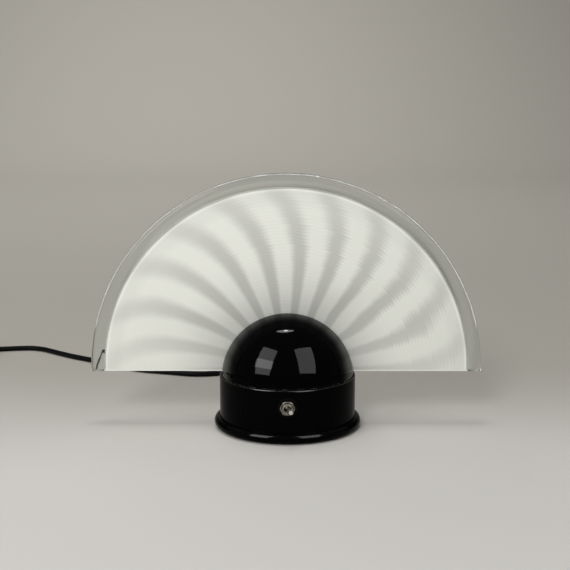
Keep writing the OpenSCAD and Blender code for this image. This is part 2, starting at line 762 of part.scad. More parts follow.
module pane_seats() color([0.1, 0.1, 0.1]) intersection() {
    difference() {
        translate([0, 0, dome_z]) sphere(r = dome_r - fit_gap);
        translate([0, 0, dome_z]) sphere(r = dome_in - seat_in);
    }
    translate([-dome_r, fit_gap - slot_w / 2, slot_floor]) cube([2 * dome_r, slot_w - 2 * fit_gap, seat_t]);
}

module pane_core() color([0.9, 0.9, 0.86]) difference() {
    notch_mid = notch_top - notch_r;
    translate([pane_x, 0, pane_z]) bar(core_r, -core_t / 2, core_t / 2);
    below_edge();
    translate([-notch_r, -core_t, edge_z - past]) cube([2 * notch_r, 2 * core_t, notch_mid - edge_z + past]);
    translate([0, 0, notch_mid]) bar(notch_r, -core_t, core_t);
}

// What the saw takes away, below the pane's cut edge
module below_edge() {
    reach = pane_r + past;
    translate([pane_x - reach, -bead_t, edge_z - reach]) cube([2 * reach, 2 * bead_t, reach]);
}

module pane_rim() color([0.85, 0.9, 0.88, 0.5]) difference() {
    translate([pane_x, 0, pane_z]) rotate([90, 0, 0]) rotate_extrude() {
        bead_at = pane_r - bead_t / 2;
        translate([bead_at, 0]) circle(d = bead_t);
        polygon([
            [core_r, -core_t / 2], [core_r + bead_swell, -bead_t / 2], [bead_at, -bead_t / 2],
            [bead_at, bead_t / 2], [core_r + bead_swell, bead_t / 2], [core_r, core_t / 2]
        ]);
    }
    below_edge();
}

foot_pad();
bottom_plate();
bottom_screws();
foot_ring();
drum();
deck_plate();
deck_screws();
standoffs();
holder_bracket();
bracket_screws();
holder_screw();
lamp_holder();
holder_contacts();
bulb_glass();
bulb_filament();
bulb_pins();
switch_bushing();
switch_body();
switch_terminals();
lock_washer();
face_washer();
switch_nut();
lever_pin();
switch_lever();
lever_plunger();
contact_rocker();
terminal_block();
terminal_inserts();
terminal_screws();
block_screw();
lead_line();
lead_switched();
lead_neutral();
cord_cores();
cord_inner();
cord_gland();
gland_nut();
cord_lead();
cord_coil();
cord_tail();
coil_tie();
plug_body();
plug_blades();
dome();
pane_seats();
pane_core();
pane_rim();
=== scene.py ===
from math import asin, cos, pi, radians, sin, tan

import bmesh
import bpy
from mathutils import Matrix, Quaternion, Vector


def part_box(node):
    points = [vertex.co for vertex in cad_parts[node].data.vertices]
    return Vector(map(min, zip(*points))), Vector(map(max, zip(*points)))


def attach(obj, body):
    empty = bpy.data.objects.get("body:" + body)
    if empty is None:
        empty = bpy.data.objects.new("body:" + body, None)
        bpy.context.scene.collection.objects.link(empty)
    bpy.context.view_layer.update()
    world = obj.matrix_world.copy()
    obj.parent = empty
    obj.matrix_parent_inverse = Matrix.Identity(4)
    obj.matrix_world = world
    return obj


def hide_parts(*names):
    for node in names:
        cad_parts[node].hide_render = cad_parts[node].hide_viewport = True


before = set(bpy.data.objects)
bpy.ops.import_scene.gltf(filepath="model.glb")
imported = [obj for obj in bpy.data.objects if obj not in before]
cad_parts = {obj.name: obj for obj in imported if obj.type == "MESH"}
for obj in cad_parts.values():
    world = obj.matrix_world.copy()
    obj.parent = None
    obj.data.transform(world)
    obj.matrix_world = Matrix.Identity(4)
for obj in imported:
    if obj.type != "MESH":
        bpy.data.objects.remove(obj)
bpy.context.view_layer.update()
mm = 0.001

# Camera
# It stands square to the glass pane, a little above the table, and looks slightly down.
# The lens gives the picture's own perspective on a square frame.
picture_px = 570
focal_px = 1189.1
look_down = 10.2
look_left = 0.123
lens = bpy.data.cameras.new("view")
lens.sensor_width = 36
lens.lens = lens.sensor_width * focal_px / picture_px
lens.clip_start = 0.01
camera = bpy.data.objects.new("view", lens)
camera.location = (0, -0.700, 0.212)
camera.rotation_euler = (radians(90 - look_down), 0, radians(look_left))
bpy.context.collection.objects.link(camera)
bpy.context.scene.camera = camera

# Mains cord
# A round two-core lead with a satin black jacket. It leaves the strain relief straight, drops to
# the table, runs off to the left and ends in a tied coil with its plug beside it.


def wire(net, socket, value):
    """Links a socket to another one, or sets it."""
    if isinstance(value, bpy.types.NodeSocket):
        net.links.new(value, socket)
    else:
        socket.default_value = value


def add(net, kind, *inputs, **settings):
    """A new node. Inputs come in order or by their capital name, and small names are its settings."""
    made = net.nodes.new(kind)
    for key, value in settings.items():
        if key[0].islower():
            setattr(made, key, value)
    for socket, value in zip(made.inputs, inputs):
        wire(net, socket, value)
    for key, value in settings.items():
        if key[0].isupper():
            wire(net, made.inputs[key.replace("_", " ")], value)
    return made


def calc(net, operation, *inputs):
    return add(net, "ShaderNodeMath", *inputs, operation=operation).outputs[0]


def remap(net, value, low, high, to_low=0.0, to_high=1.0):
    """Carries a value from one range to another, with soft ends."""
    made = add(net, "ShaderNodeMapRange", value, low, high, to_low, to_high, interpolation_type="SMOOTHSTEP")
    return made.outputs["Result"]


def tint(net, factor, first, second):
    """A colour between two, by a factor."""
    made = add(net, "ShaderNodeMix", factor, data_type="RGBA")
    sockets = [socket for socket in made.inputs if socket.type == "RGBA"]
    for socket, colour in zip(sockets, (first, second)):
        wire(net, socket, (*colour, 1) if isinstance(colour, tuple) else colour)
    return [socket for socket in made.outputs if socket.type == "RGBA"][0]


def spot(net):
    """The place on the piece, in metres."""
    return add(net, "ShaderNodeTexCoord").outputs["Object"]


def stretched(net, x, y, z):
    """The place on the piece, counted in waves of that many to the metre along each axis."""
    return add(net, "ShaderNodeMapping", spot(net), Scale=(x, y, z)).outputs[0]


def noise(net, where, scale=1.0, detail=2.0):
    return add(net, "ShaderNodeTexNoise", where, Scale=scale, Detail=detail).outputs[0]


def bump(net, shader, height, depth):
    wire(net, shader.inputs["Normal"], add(net, "ShaderNodeBump", Distance=depth, Height=height).outputs[0])


def finish(name, **sockets):
    """A new material, with what is the same all over it set on the shader itself."""
    made = bpy.data.materials.new(name)
    made.use_nodes = True
    shader = made.node_tree.nodes["Principled BSDF"]
    for key, value in sockets.items():
        shader.inputs[key.replace("_", " ")].default_value = value
    return made, made.node_tree, shader


def drifting(name, dark, light, rough_low, rough_high, waves, depth=0.0, grain=2500.0, **sockets):
    """A finish whose colour and gloss drift a little, with a fine grain in the surface."""
    made, net, shader = finish(name, **sockets)
    drift = noise(net, stretched(net, *waves), 1.0, 4.0)
    wire(net, shader.inputs["Base Color"], tint(net, remap(net, drift, 0.35, 0.65), dark, light))
    wire(net, shader.inputs["Roughness"], remap(net, drift, 0.3, 0.7, rough_low, rough_high))
    if depth:
        bump(net, shader, noise(net, spot(net), grain, 3.0), depth)
    return made


def show(piece, material, body, slot, *nodes):
    """Dresses a piece, ties it to the body it rides on, and hides the nodes that it stands for."""
    piece.data.materials.clear()
    piece.data.materials.append(material)
    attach(piece, body)
    if nodes:
        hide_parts(*nodes)
    return piece


def linked(name, data):
    made = bpy.data.objects.new(name, data)
    bpy.context.collection.objects.link(made)
    return made


cord_d = 3.6 * mm
cord_r = cord_d / 2
gland_low, gland_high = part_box("cord_gland")
relief_end = gland_high.y
relief_z = (gland_low.z + gland_high.z) / 2
# Where it isn't coiled, the cord follows points in millimetres, and lie is its height on the table.
# The tail's two points are counted from the plug's middle in x.
lie = cord_r / mm + 0.1
route = [
    (-0.3, 77.5, 14.2), (-2, 87.5, 11.2), (-6.5, 98, 7.2), (-14, 107.5, 4), (-23.5, 114.5, 2.3),
    (-33.5, 118, lie), (-43, 117.6, lie), (-52, 115.5, lie), (-60, 113.9, lie), (-69, 114.5, lie),
    (-80, 118, lie), (-92, 121.6, lie), (-104, 125.6, lie), (-118, 134.8, lie), (-132, 145, lie),
    (-146.5, 156, lie), (-160.5, 166.2, lie), (-172, 175.8, lie), (-181, 184, lie), (-188, 189.6, lie),
    (-196, 192.8, lie), (-205, 192.6, lie), (-214, 191, lie), (-222, 189.5, lie), (-235, 187.5, lie),
]
tail_bend = (0.8, 142, 13.6)
tail_end = (0, 130, 9.2)

# The coil: four layers that spiral in and out by turns and climb where they turn back
coil_centre = Vector((-250, 158, 0)) * mm
coil_start = radians(110)
loop_steps = 24
layer_steps = 58
climb_steps = loop_steps // 2
layers = 4
coil_pitch = cord_d + 1.2 * mm
coil_in = 4 * cord_d
coil_out = coil_in + coil_pitch * layer_steps / loop_steps
tie_t = 0.6 * mm
coil_z = tie_t + 0.2 * mm + cord_r


def coil_point(i):
    layer, step = divmod(i, layer_steps + climb_steps)
    climb = (1 - cos(pi * max(step - layer_steps, 0) / climb_steps)) / 2
    drawn = coil_pitch * min(step, layer_steps) / loop_steps
    r = coil_in + drawn if layer % 2 else coil_out - drawn
    a = coil_start + 2 * pi * i / loop_steps
    return coil_centre + Vector((r * cos(a), r * sin(a), coil_z + coil_pitch * (layer + climb)))


turns = [coil_point(i) for i in range(layers * layer_steps + (layers - 1) * climb_steps + 1)]
into_coil = (turns[1] - turns[0]).normalized() * cord_d
out_of_coil = (turns[-1] - turns[-2]).normalized() * cord_d
plug_low, plug_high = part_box("plug_body")
plug_x = (plug_low.x + plug_high.x) / 2
plug_z = (plug_low.z + plug_high.z) / 2
plug_end = Vector((plug_x, plug_high.y, plug_z))
cord_points = [
    Vector((0, relief_end, relief_z)),
    Vector((0, relief_end + cord_d, relief_z)),
    *[Vector(point) * mm for point in route],
    turns[0] - 2 * into_coil,
    turns[0] - into_coil,
    *turns,
    turns[-1] + out_of_coil,
    turns[-1] + 2 * out_of_coil,
    Vector((plug_x, 0, 0)) + Vector(tail_bend) * mm,
    Vector((plug_x, 0, 0)) + Vector(tail_end) * mm,
    plug_end + Vector((0, cord_d, 0)),
    plug_end,
]
line = bpy.data.curves.new("mains_cord", "CURVE")
line.dimensions = "3D"
line.bevel_depth = cord_r
line.bevel_resolution = 5
line.resolution_u = 4
line.use_fill_caps = True
spline = line.splines.new("BEZIER")
spline.bezier_points.add(len(cord_points) - 1)
for bead, point in zip(spline.bezier_points, cord_points):
    bead.co = point
    bead.handle_left_type = bead.handle_right_type = "AUTO"
mains_cord = linked("mains_cord", line)
jacket = drifting(
    "cord_jacket", (0.0015, 0.0015, 0.0018), (0.004, 0.004, 0.0045), 0.34, 0.46, (60, 60, 60), 0.02 * mm, 900,
    Specular_IOR_Level=0.12,
)
show(mains_cord, jacket, "base", "cord_black", "cord_lead", "cord_coil", "cord_tail")

# Plug
# A moulded two-blade plug with finger grooves, one piece with the ribbed sleeve round the cord.
# Its blades are folded brass with a hole near each end, set in before moulding.


def piece_of(name, bm, crease=32.0):
    """Turns a mesh under construction into an object whose gentle edges shade smoothly."""
    bmesh.ops.recalc_face_normals(bm, faces=bm.faces)
    mesh = bpy.data.meshes.new(name)
    bm.to_mesh(mesh)
    bm.free()
    mesh.shade_smooth()
    mesh.set_sharp_from_angle(angle=radians(crease))
    return linked(name, mesh)


def skin(bm, rings, closed=False):
    """Joins rings of points with faces, and caps the two ends unless the last ring meets the first."""
    loops = [[bm.verts.new(point) for point in ring] for ring in rings]
    for near, far in zip(loops, loops[1:] + loops[:1] if closed else loops[1:]):
        for k in range(len(near)):
            bm.faces.new((near[k - 1], near[k], far[k], far[k - 1]))
    if not closed:
        bm.faces.new(loops[0])
        bm.faces.new(loops[-1])


def rounded(half_w, half_h, corner, steps=6):
    """A rectangle with round corners, as points (across, up)."""
    points = []
    for quarter, (side, rise) in enumerate(((1, 1), (-1, 1), (-1, -1), (1, -1))):
        for k in range(steps + 1):
            a = pi / 2 * (quarter + k / steps)
            x = side * (half_w - corner) + corner * cos(a)
            points.append((x, rise * (half_h - corner) + corner * sin(a)))
    return points


sleeve_len = 18 * mm
sleeve_start = 4 * mm
sleeve_tip = cord_r + 0.8 * mm
grip_end = plug_high.y - sleeve_len
grip_len = grip_end - plug_low.y
grip_w = (plug_high.x - plug_low.x) / 2
grip_h = (plug_high.z - plug_low.z) / 2
grip_corner = 3.4 * mm
groove = 0.08
nearly_round = 0.999
# Each section is its place along the grip, and its width and height as shares of the largest
sections = [(0.0, 0.9, 0.86), (0.02, 0.96, 0.94), (0.06, 1.0, 1.0), (0.2, 1.0, 1.0)]
for start in (0.24, 0.38, 0.52):
    wide = 1.02 - start / 5
    sections += [(start, wide, 0.98), (start + 0.03, wide - groove, 0.97)]
    sections += [(start + 0.08, wide - groove, 0.97), (start + 0.11, wide, 0.98)]
sections += [(0.72, 0.86, 0.94), (0.84, 0.74, 0.82), (0.94, 0.54, 0.68), (1.0, 0.42, 0.6)]
plug_rings = []
for along, wide, high in sections:
    y = plug_low.y + along * grip_len
    outline = rounded(grip_w * wide, grip_h * high, grip_corner)
    plug_rings.append([Vector((plug_x + x, y, plug_z + z)) for x, z in outline])
for r, y in ((sleeve_start, grip_end + 0.4 * mm), (sleeve_tip, plug_high.y)):
    outline = rounded(r, r, r * nearly_round)
    plug_rings.append([Vector((plug_x + x, y, plug_z + z)) for x, z in outline])
bm = bmesh.new()
skin(bm, plug_rings)
plug_grip = piece_of("plug_grip", bm, 40)
moulded = drifting(
    "moulded_black", (0.008, 0.008, 0.009), (0.016, 0.016, 0.016), 0.42, 0.56, (90, 90, 90), 0.05 * mm, 1800,
)
show(plug_grip, moulded, "base", "moulded_black", "plug_body")


def grown(name, host, build, crease=32.0, **sizes):
    """Runs a tree of geometry nodes with named sizes on a host, and keeps what grows as a plain mesh."""
    net = bpy.data.node_groups.new(name, "GeometryNodeTree")
    net.interface.new_socket("Geometry", in_out="INPUT", socket_type="NodeSocketGeometry")
    net.interface.new_socket("Geometry", in_out="OUTPUT", socket_type="NodeSocketGeometry")
    kinds = {
        int: "Int", float: "Float", tuple: "Vector",
        bpy.types.Object: "Object", bpy.types.Material: "Material",
    }
    keys = {}
    for key, value in sizes.items():
        socket = net.interface.new_socket(key, in_out="INPUT", socket_type="NodeSocket" + kinds[type(value)])
        keys[key] = socket.identifier
    given = net.nodes.new("NodeGroupInput").outputs
    single = add(net, "GeometryNodeRealizeInstances", build(net, given))
    dressed = add(net, "GeometryNodeSetMaterial", single.outputs[0], Material=given["Finish"])
    add(net, "NodeGroupOutput", dressed.outputs[0])
    grower = host.modifiers.new(name, "NODES")
    grower.node_group = net
    for key, value in sizes.items():
        grower[keys[key]] = value
    mesh = bpy.data.meshes.new_from_object(host.evaluated_get(bpy.context.evaluated_depsgraph_get()))
    bpy.data.objects.remove(host)
    bm = bmesh.new()
    bm.from_mesh(mesh)
    bpy.data.meshes.remove(mesh)
    bmesh.ops.remove_doubles(bm, verts=bm.verts, dist=0.001 * mm)
    return piece_of(name, bm, crease)


def seeds(*points):
    """A host for a tree: loose points where something grows."""
    mesh = bpy.data.meshes.new("seeds")
    mesh.from_pydata(points, [], [])
    return linked("seeds", mesh)


def hoops(net, given):
    """Round ribs along a tapered sleeve that runs along Y."""
    row = add(net, "GeometryNodeMeshLine", Count=given["Count"], Start_Location=given["Start"],
              Offset=given["Step"], mode="OFFSET").outputs[0]
    circle = add(net, "GeometryNodeCurvePrimitiveCircle", Resolution=40, Radius=1.0).outputs[0]
    section = add(net, "GeometryNodeCurvePrimitiveCircle", Resolution=10,
                  Radius=given["Plumpness"]).outputs[0]
    hoop = add(net, "GeometryNodeCurveToMesh", circle, Profile_Curve=section).outputs[0]
    size = add(net, "ShaderNodeMapRange", add(net, "GeometryNodeInputIndex").outputs[0], 0.0,
               calc(net, "SUBTRACT", given["Count"], 1.0), given["First radius"], given["Last radius"])
    return add(net, "GeometryNodeInstanceOnPoints", row, Instance=hoop, Rotation=(pi / 2, 0, 0),
               Scale=size.outputs[0]).outputs[0]


rib_plumpness = 0.13
sleeve_ribs = 6
rib_step = sleeve_len / (sleeve_ribs + 1)
plug_ribs = grown(
    "plug_ribs", seeds((0, 0, 0)), hoops, 60, Count=sleeve_ribs,
    Start=(plug_x, grip_end + rib_step, plug_z), Step=(0.0, rib_step, 0.0), Plumpness=rib_plumpness,
    Finish=moulded, **{"First radius": sleeve_start - 0.3 * mm, "Last radius": sleeve_tip},
)
show(plug_ribs, moulded, "base", "moulded_black")


def dress(material, *nodes):
    """Gives nodes that keep their own shape a finish of the scene's own."""
    for node in nodes:
        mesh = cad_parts[node].data
        mesh.materials.clear()
        mesh.materials.append(material)


brass = drifting(
    "drawn_brass", (0.58, 0.42, 0.17), (0.78, 0.61, 0.30), 0.2, 0.38, (900, 60, 900), Metallic=1.0,
)
dress(brass, "plug_blades")

# Coil tie
# A strip of black woven webbing, closed on itself round the turns of the coil.
# It lies flat under the coil and has soft round corners where it turns up.
tie_w = 6 * mm
tie_gap = 0.8 * mm
tie_corner = 2.4 * mm
tie_side = radians(300)
tie_in = coil_in - cord_r - tie_gap - tie_t / 2
tie_out = coil_out + cord_r + tie_gap + tie_t / 2
tie_top = coil_z + coil_pitch * (layers - 1) + cord_r + tie_gap + tie_t / 2
tie_half_x = (tie_out - tie_in) / 2
tie_half_z = (tie_top - tie_t / 2) / 2
tie_turn = Matrix.Translation(coil_centre) @ Matrix.Rotation(tie_side, 4, "Z")
tie_middle = Vector((tie_in + tie_half_x, 0, tie_t / 2 + tie_half_z))
strap = []
for x, z in rounded(tie_half_x, tie_half_z, tie_corner, 8):
    out = Vector((x / tie_half_x, 0, z / tie_half_z)).normalized() * tie_t / 2
    half = Vector((0, tie_w / 2, 0))
    at = tie_middle + Vector((x, 0, z))
    strap.append([tie_turn @ p for p in (at - half - out, at + half - out, at + half + out, at - half + out)])
bm = bmesh.new()
skin(bm, strap, closed=True)
coil_tie = piece_of("webbing_tie", bm)
webbing, net, shader = finish("webbing", Roughness=0.85, Sheen_Weight=0.3)
weave = add(net, "ShaderNodeTexWave", stretched(net, 900, 900, 900), Scale=1.0, Distortion=1.2).outputs[1]
wire(net, shader.inputs["Base Color"], tint(net, weave, (0.008, 0.008, 0.008), (0.03, 0.03, 0.032)))
bump(net, shader, weave, 0.08 * mm)
show(coil_tie, webbing, "base", "moulded_black", "coil_tie")

# Bottom plate and felt pad
# A zinc-plated steel disc closes the base from below, held by four screws up into the standoffs.
# The felt under it is a glued disc with a punched hole round each screw head.
zinc = drifting(
    "zinc_plate", (0.42, 0.42, 0.41), (0.60, 0.60, 0.59), 0.30, 0.48, (700, 40, 700), Metallic=1.0,
)
dress(zinc, "bottom_plate")
standoff_at = 30 * mm
corners = [(standoff_at * cos(radians(a)), standoff_at * sin(radians(a))) for a in (45, 135, 225, 315)]
head_r = 2.6 * mm
pad_low, pad_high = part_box("foot_pad")
pad_half = (pad_high.z - pad_low.z) / 2
pad_edge = 0.35 * mm
hole_r = head_r + 0.6 * mm
disc_steps = 120
hole_steps = 36
disc = bpy.data.curves.new("felt_disc", "CURVE")
disc.dimensions = "2D"
disc.fill_mode = "BOTH"
disc.extrude = pad_half - pad_edge
disc.bevel_depth = pad_edge
disc.bevel_resolution = 3
# A bevel stands out from its line, so the lines run inside the felt by as much
rings = [(0, 0, pad_high.x - pad_edge, disc_steps)]
rings += [(x, y, hole_r + pad_edge, hole_steps) for x, y in corners]
for x, y, r, steps in rings:
    ring = disc.splines.new("POLY")
    ring.points.add(steps - 1)
    ring.use_cyclic_u = True
    for k, point in enumerate(ring.points):
        a = 2 * pi * k / steps
        point.co = (x + r * cos(a), y + r * sin(a), 0, 1)
flat_disc = linked("felt_disc", disc)
bm = bmesh.new()
bm.from_mesh(bpy.data.meshes.new_from_object(flat_disc.evaluated_get(bpy.context.evaluated_depsgraph_get())))
bpy.data.objects.remove(flat_disc)
bmesh.ops.translate(bm, verts=bm.verts, vec=(0, 0, pad_low.z + pad_half))
bmesh.ops.remove_doubles(bm, verts=bm.verts, dist=0.001 * mm)
felt_pad = piece_of("felt_pad", bm)
felt, net, shader = finish("black_felt", Roughness=0.95, Sheen_Weight=0.4)
fibres = noise(net, spot(net), 1400, 6.0)
wire(net, shader.inputs["Base Color"], tint(net, fibres, (0.008, 0.008, 0.009), (0.05, 0.05, 0.052)))
bump(net, shader, fibres, 0.25 * mm)
show(felt_pad, felt, "base", "felt", "foot_pad")

# Screws
# Zinc-plated pan-head machine screws with a cross recess. They hold the bottom plate, the deck,
# the holder's bracket, the holder and the terminal block.
head_h = 1.2 * mm
screw_r = 1.2 * mm
crown_drop = 0.42
recess_r = 1.5 * mm
recess_w = 0.34 * mm
recess_depth = 0.75 * mm
head_steps = 64
head_angles = [2 * pi * k / head_steps for k in range(head_steps)]


def head_top(r, a):
    """Height of a pan head's top, with a cross sunk into it."""
    height = head_h * (1 - crown_drop * (r / head_r) ** 4)
    if min(abs(r * cos(a)), abs(r * sin(a))) < recess_w and r < recess_r:
        height -= recess_depth * (1 - 0.5 * r / recess_r)
    return height


head_rings = [[(r * cos(a), r * sin(a), 0) for a in head_angles] for r in (0.98 * screw_r, head_r)]
for share in (1.0, 0.97, 0.9, 0.8, 0.7, 0.62, 0.57, 0.5, 0.42, 0.34, 0.26, 0.18, 0.1):
    r = head_r * share
    head_rings.append([(r * cos(a), r * sin(a), head_top(r, a)) for a in head_angles])
bm = bmesh.new()
skin(bm, head_rings)
screw_head = piece_of("screw_head", bm, 25)


def screws(net, given):
    """A screw at each seed, each turned by chance about its own axis."""
    head = add(net, "GeometryNodeObjectInfo", Object=given["Head"]).outputs["Geometry"]
    shank = add(net, "GeometryNodeMeshCylinder", Vertices=24, Radius=given["Shank radius"],
                Depth=given["Shank"]).outputs[0]
    down = add(net, "ShaderNodeCombineXYZ", Z=calc(net, "MULTIPLY", given["Shank"], -0.5)).outputs[0]
    sunk = add(net, "GeometryNodeTransform", shank, Translation=down).outputs[0]
    whole = add(net, "GeometryNodeJoinGeometry", head)
    net.links.new(sunk, whole.inputs[0])
    chance = add(net, "FunctionNodeRandomValue", Seed=given["Seed"], data_type="FLOAT").outputs[1]
    spin = calc(net, "MULTIPLY", chance, pi)
    turn = add(net, "ShaderNodeCombineXYZ", X=given["Tip over"], Z=spin).outputs[0]
    return add(net, "GeometryNodeInstanceOnPoints", given["Geometry"], Instance=whole.outputs[0],
               Rotation=turn).outputs[0]


def screw_set(name, node, places, shank, under=False, seed=1):
    """The screws that stand for a node, with shanks of that many millimetres."""
    low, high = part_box(node)
    z = low.z + head_h if under else high.z - head_h
    made = grown(
        name, seeds(*[(x, y, z) for x, y in places]), screws, 25, Head=screw_head, Shank=shank * mm,
        Seed=seed, Finish=zinc, **{"Shank radius": screw_r, "Tip over": pi if under else 0.0},
    )
    show(made, zinc, "base", "steel", node)


foot_x = 18 * mm
block_y = 19 * mm
screw_set("base_screws", "bottom_screws", corners, 7.2, under=True, seed=2)
screw_set("plate_screws", "deck_screws", corners, 7.5, seed=3)
screw_set("strap_screws", "bracket_screws", [(-foot_x, 0), (foot_x, 0)], 4.5, seed=4)
screw_set("holder_fixing", "holder_screw", [(0, 0)], 6.0, under=True, seed=5)
screw_set("block_fixing", "block_screw", [(0, block_y)], 7.5, seed=6)
bpy.data.objects.remove(screw_head)

# Foot ring
# A half-round ring of turned metal in glossy black enamel, which the bottom plate clamps under
# the drum. Its underside is rubbed where it has been slid about.


def enamel(name, rough_low, rough_high, gloss, scuff_low, scuff_high, scuffing, shine=0.0, flank=0.0):
    """Black enamel with pale scuffs between two heights and a few specks of dust.

    Shine polishes it from the scuffs upwards, and flank adds a clear coat where it is seen aslant.
    """
    made, net, shader = finish(name, Specular_IOR_Level=gloss, Coat_Roughness=0.04, Coat_IOR=1.4)
    z = add(net, "ShaderNodeSeparateXYZ", spot(net)).outputs["Z"]
    above = remap(net, z, scuff_low - 0.15 * mm, scuff_low)
    if shine:
        polish = calc(net, "ADD", calc(net, "MULTIPLY", above, shine), gloss)
        wire(net, shader.inputs["Specular IOR Level"], polish)
    if flank:
        turned = add(net, "ShaderNodeLayerWeight", Blend=0.5).outputs["Facing"]
        falling = remap(net, turned, 0.6, 0.95, 1.0, 0.5)
        rising = remap(net, turned, 0.44, 0.66, 0.0, flank)
        wire(net, shader.inputs["Coat Weight"], calc(net, "MULTIPLY", rising, falling))
    below = remap(net, z, scuff_low, scuff_high, 1.0, 0.0)
    rubbed = remap(net, noise(net, stretched(net, 700, 700, 3200), 1.0, 6.0), 0.54, 0.66)
    worn = calc(net, "MULTIPLY", calc(net, "MULTIPLY", calc(net, "MULTIPLY", above, below), rubbed), scuffing)
    cells = add(net, "ShaderNodeTexVoronoi", spot(net), Scale=240.0)
    speck = remap(net, cells.outputs["Distance"], 0.05, 0.08, 1.0, 0.0)
    pick = add(net, "ShaderNodeSeparateXYZ", cells.outputs["Color"]).outputs["X"]
    dust = calc(net, "MULTIPLY", calc(net, "MULTIPLY", speck, calc(net, "GREATER_THAN", pick, 0.972)), 0.7)
    pale = calc(net, "MAXIMUM", worn, dust)
    wire(net, shader.inputs["Base Color"], tint(net, pale, (0.0009, 0.0009, 0.0011), (0.32, 0.31, 0.29)))
    rough = remap(net, noise(net, spot(net), 70, 4.0), 0.3, 0.7, rough_low, rough_high)
    wire(net, shader.inputs["Roughness"], calc(net, "ADD", rough, calc(net, "MULTIPLY", pale, 0.4)))
    bump(net, shader, noise(net, spot(net), 220, 3.0), 0.006 * mm)
    return made


ring_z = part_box("foot_ring")[0].z
dress(enamel("ring_enamel", 0.06, 0.12, 0.022, ring_z, ring_z + 1.0 * mm, 0.25), "foot_ring")

# Drum
# A turned metal drum with a thin rim above an inner ledge, in satin black enamel.
# It stands in the foot ring, and the dome nests inside its rim.
drum_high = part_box("drum")[1]
drum_r = drum_high.x
rim_z = drum_high.z
dress(enamel("drum_enamel", 0.15, 0.22, 0.018, rim_z - 0.5 * mm, rim_z + 0.3 * mm, 0.12, 0.06), "drum")

# Deck and standoffs
# A zinc-plated plate rests on the drum's ledge, with a hole for the holder and four vents.
# Four hexagonal standoffs tie it to the bottom plate.
dress(zinc, "deck_plate")
plain_nickel = drifting(
    "plain_nickel", (0.50, 0.47, 0.40), (0.66, 0.62, 0.54), 0.25, 0.4, (500, 500, 60), Metallic=1.0,
)
dress(plain_nickel, "standoffs")

# Lamp holder
# A glazed ceramic cylinder with two spring contacts of brass.
# It is screwed to a bent steel strap that hangs under the deck.
ceramic = drifting(
    "glazed_ceramic", (0.70, 0.68, 0.62), (0.80, 0.78, 0.73), 0.18, 0.3, (120, 120, 120), 0.03 * mm, 700,
)
dress(ceramic, "lamp_holder")
dress(zinc, "holder_bracket")
dress(brass, "holder_contacts")

# Bulb
# A two-pin capsule of clear quartz glass, pinched flat at its foot. The tungsten coil hangs
# between two posts, and the pins plug into the holder.


def lathe(bm, outline, place, steps=96):
    """Turns a closed outline of (radius, height) points about its own axis, then puts it in place."""
    rings = []
    for k in range(steps):
        a = 2 * pi * k / steps
        rings.append([place @ Vector((r * cos(a), r * sin(a), h)) for r, h in outline])
    skin(bm, rings, closed=True)
    bmesh.ops.remove_doubles(bm, verts=bm.verts, dist=0.002 * mm)


def arc(centre_r, centre_h, radius, start, end, steps=12):
    """Points (radius, height) along part of a circle, with angles in degrees."""
    angles = [radians(start + (end - start) * k / steps) for k in range(steps + 1)]
    return [(centre_r + radius * cos(a), centre_h + radius * sin(a)) for a in angles]


bulb_low, bulb_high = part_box("bulb_glass")
bulb_r = bulb_high.x
bulb_wall = 1 * mm
neck_edge = 2 * mm
inner_edge = neck_edge - bulb_wall
pinch_h = 8 * mm
pinch_x = 2.2 * mm
pinch_y = 6 * mm
pinch_edge = 1.2 * mm
neck_z = bulb_low.z + pinch_h
ball_z = bulb_high.z - bulb_r
hollow_r = bulb_r - bulb_wall
outside = [(0, neck_z), *arc(bulb_r - neck_edge, neck_z + neck_edge, neck_edge, -90, 0)]
outside += arc(0, ball_z, bulb_r, 0, 90, 20)
inside = arc(0, ball_z, hollow_r, 90, 0, 20)
inside += [*arc(hollow_r - inner_edge, neck_z + neck_edge, inner_edge, 0, -90, 6), (0, neck_z + bulb_wall)]
bm = bmesh.new()
lathe(bm, outside + inside, Matrix.Identity(4), 64)
pinch_rings = []
for share, wide in ((0, 0.86), (0.06, 1.0), (0.85, 1.0), (1.0, 0.92)):
    z = bulb_low.z + share * (pinch_h + 0.3 * mm)
    pinch_rings.append([Vector((x, y, z)) for x, y in rounded(pinch_x * wide, pinch_y * wide, pinch_edge)])
skin(bm, pinch_rings)
capsule = piece_of("quartz_capsule", bm, 40)
quartz, net, shader = finish("quartz_glass", Transmission_Weight=1.0, IOR=1.46)
cloud = noise(net, spot(net), 200)
wire(net, shader.inputs["Base Color"], tint(net, cloud, (0.93, 0.95, 0.95), (0.98, 0.99, 0.99)))
wire(net, shader.inputs["Roughness"], remap(net, cloud, 0.4, 0.8, 0.0, 0.06))
show(capsule, quartz, "base", "bulb_glass", "bulb_glass")


def winding(net, given):
    """A helix of wire along Z, laid in its place."""
    helix = add(net, "GeometryNodeCurveSpiral", Resolution=given["Steps per turn"], Rotations=given["Turns"],
                Start_Radius=given["Radius"], End_Radius=given["Radius"], Height=given["Length"]).outputs[0]
    section = add(net, "GeometryNodeCurvePrimitiveCircle", Resolution=given["Section sides"],
                  Radius=given["Section radius"]).outputs[0]
    wound = add(net, "GeometryNodeCurveToMesh", helix, Profile_Curve=section, Fill_Caps=True).outputs[0]
    return add(net, "GeometryNodeTransform", wound, Translation=given["Place"],
               Rotation=given["Turn"]).outputs[0]


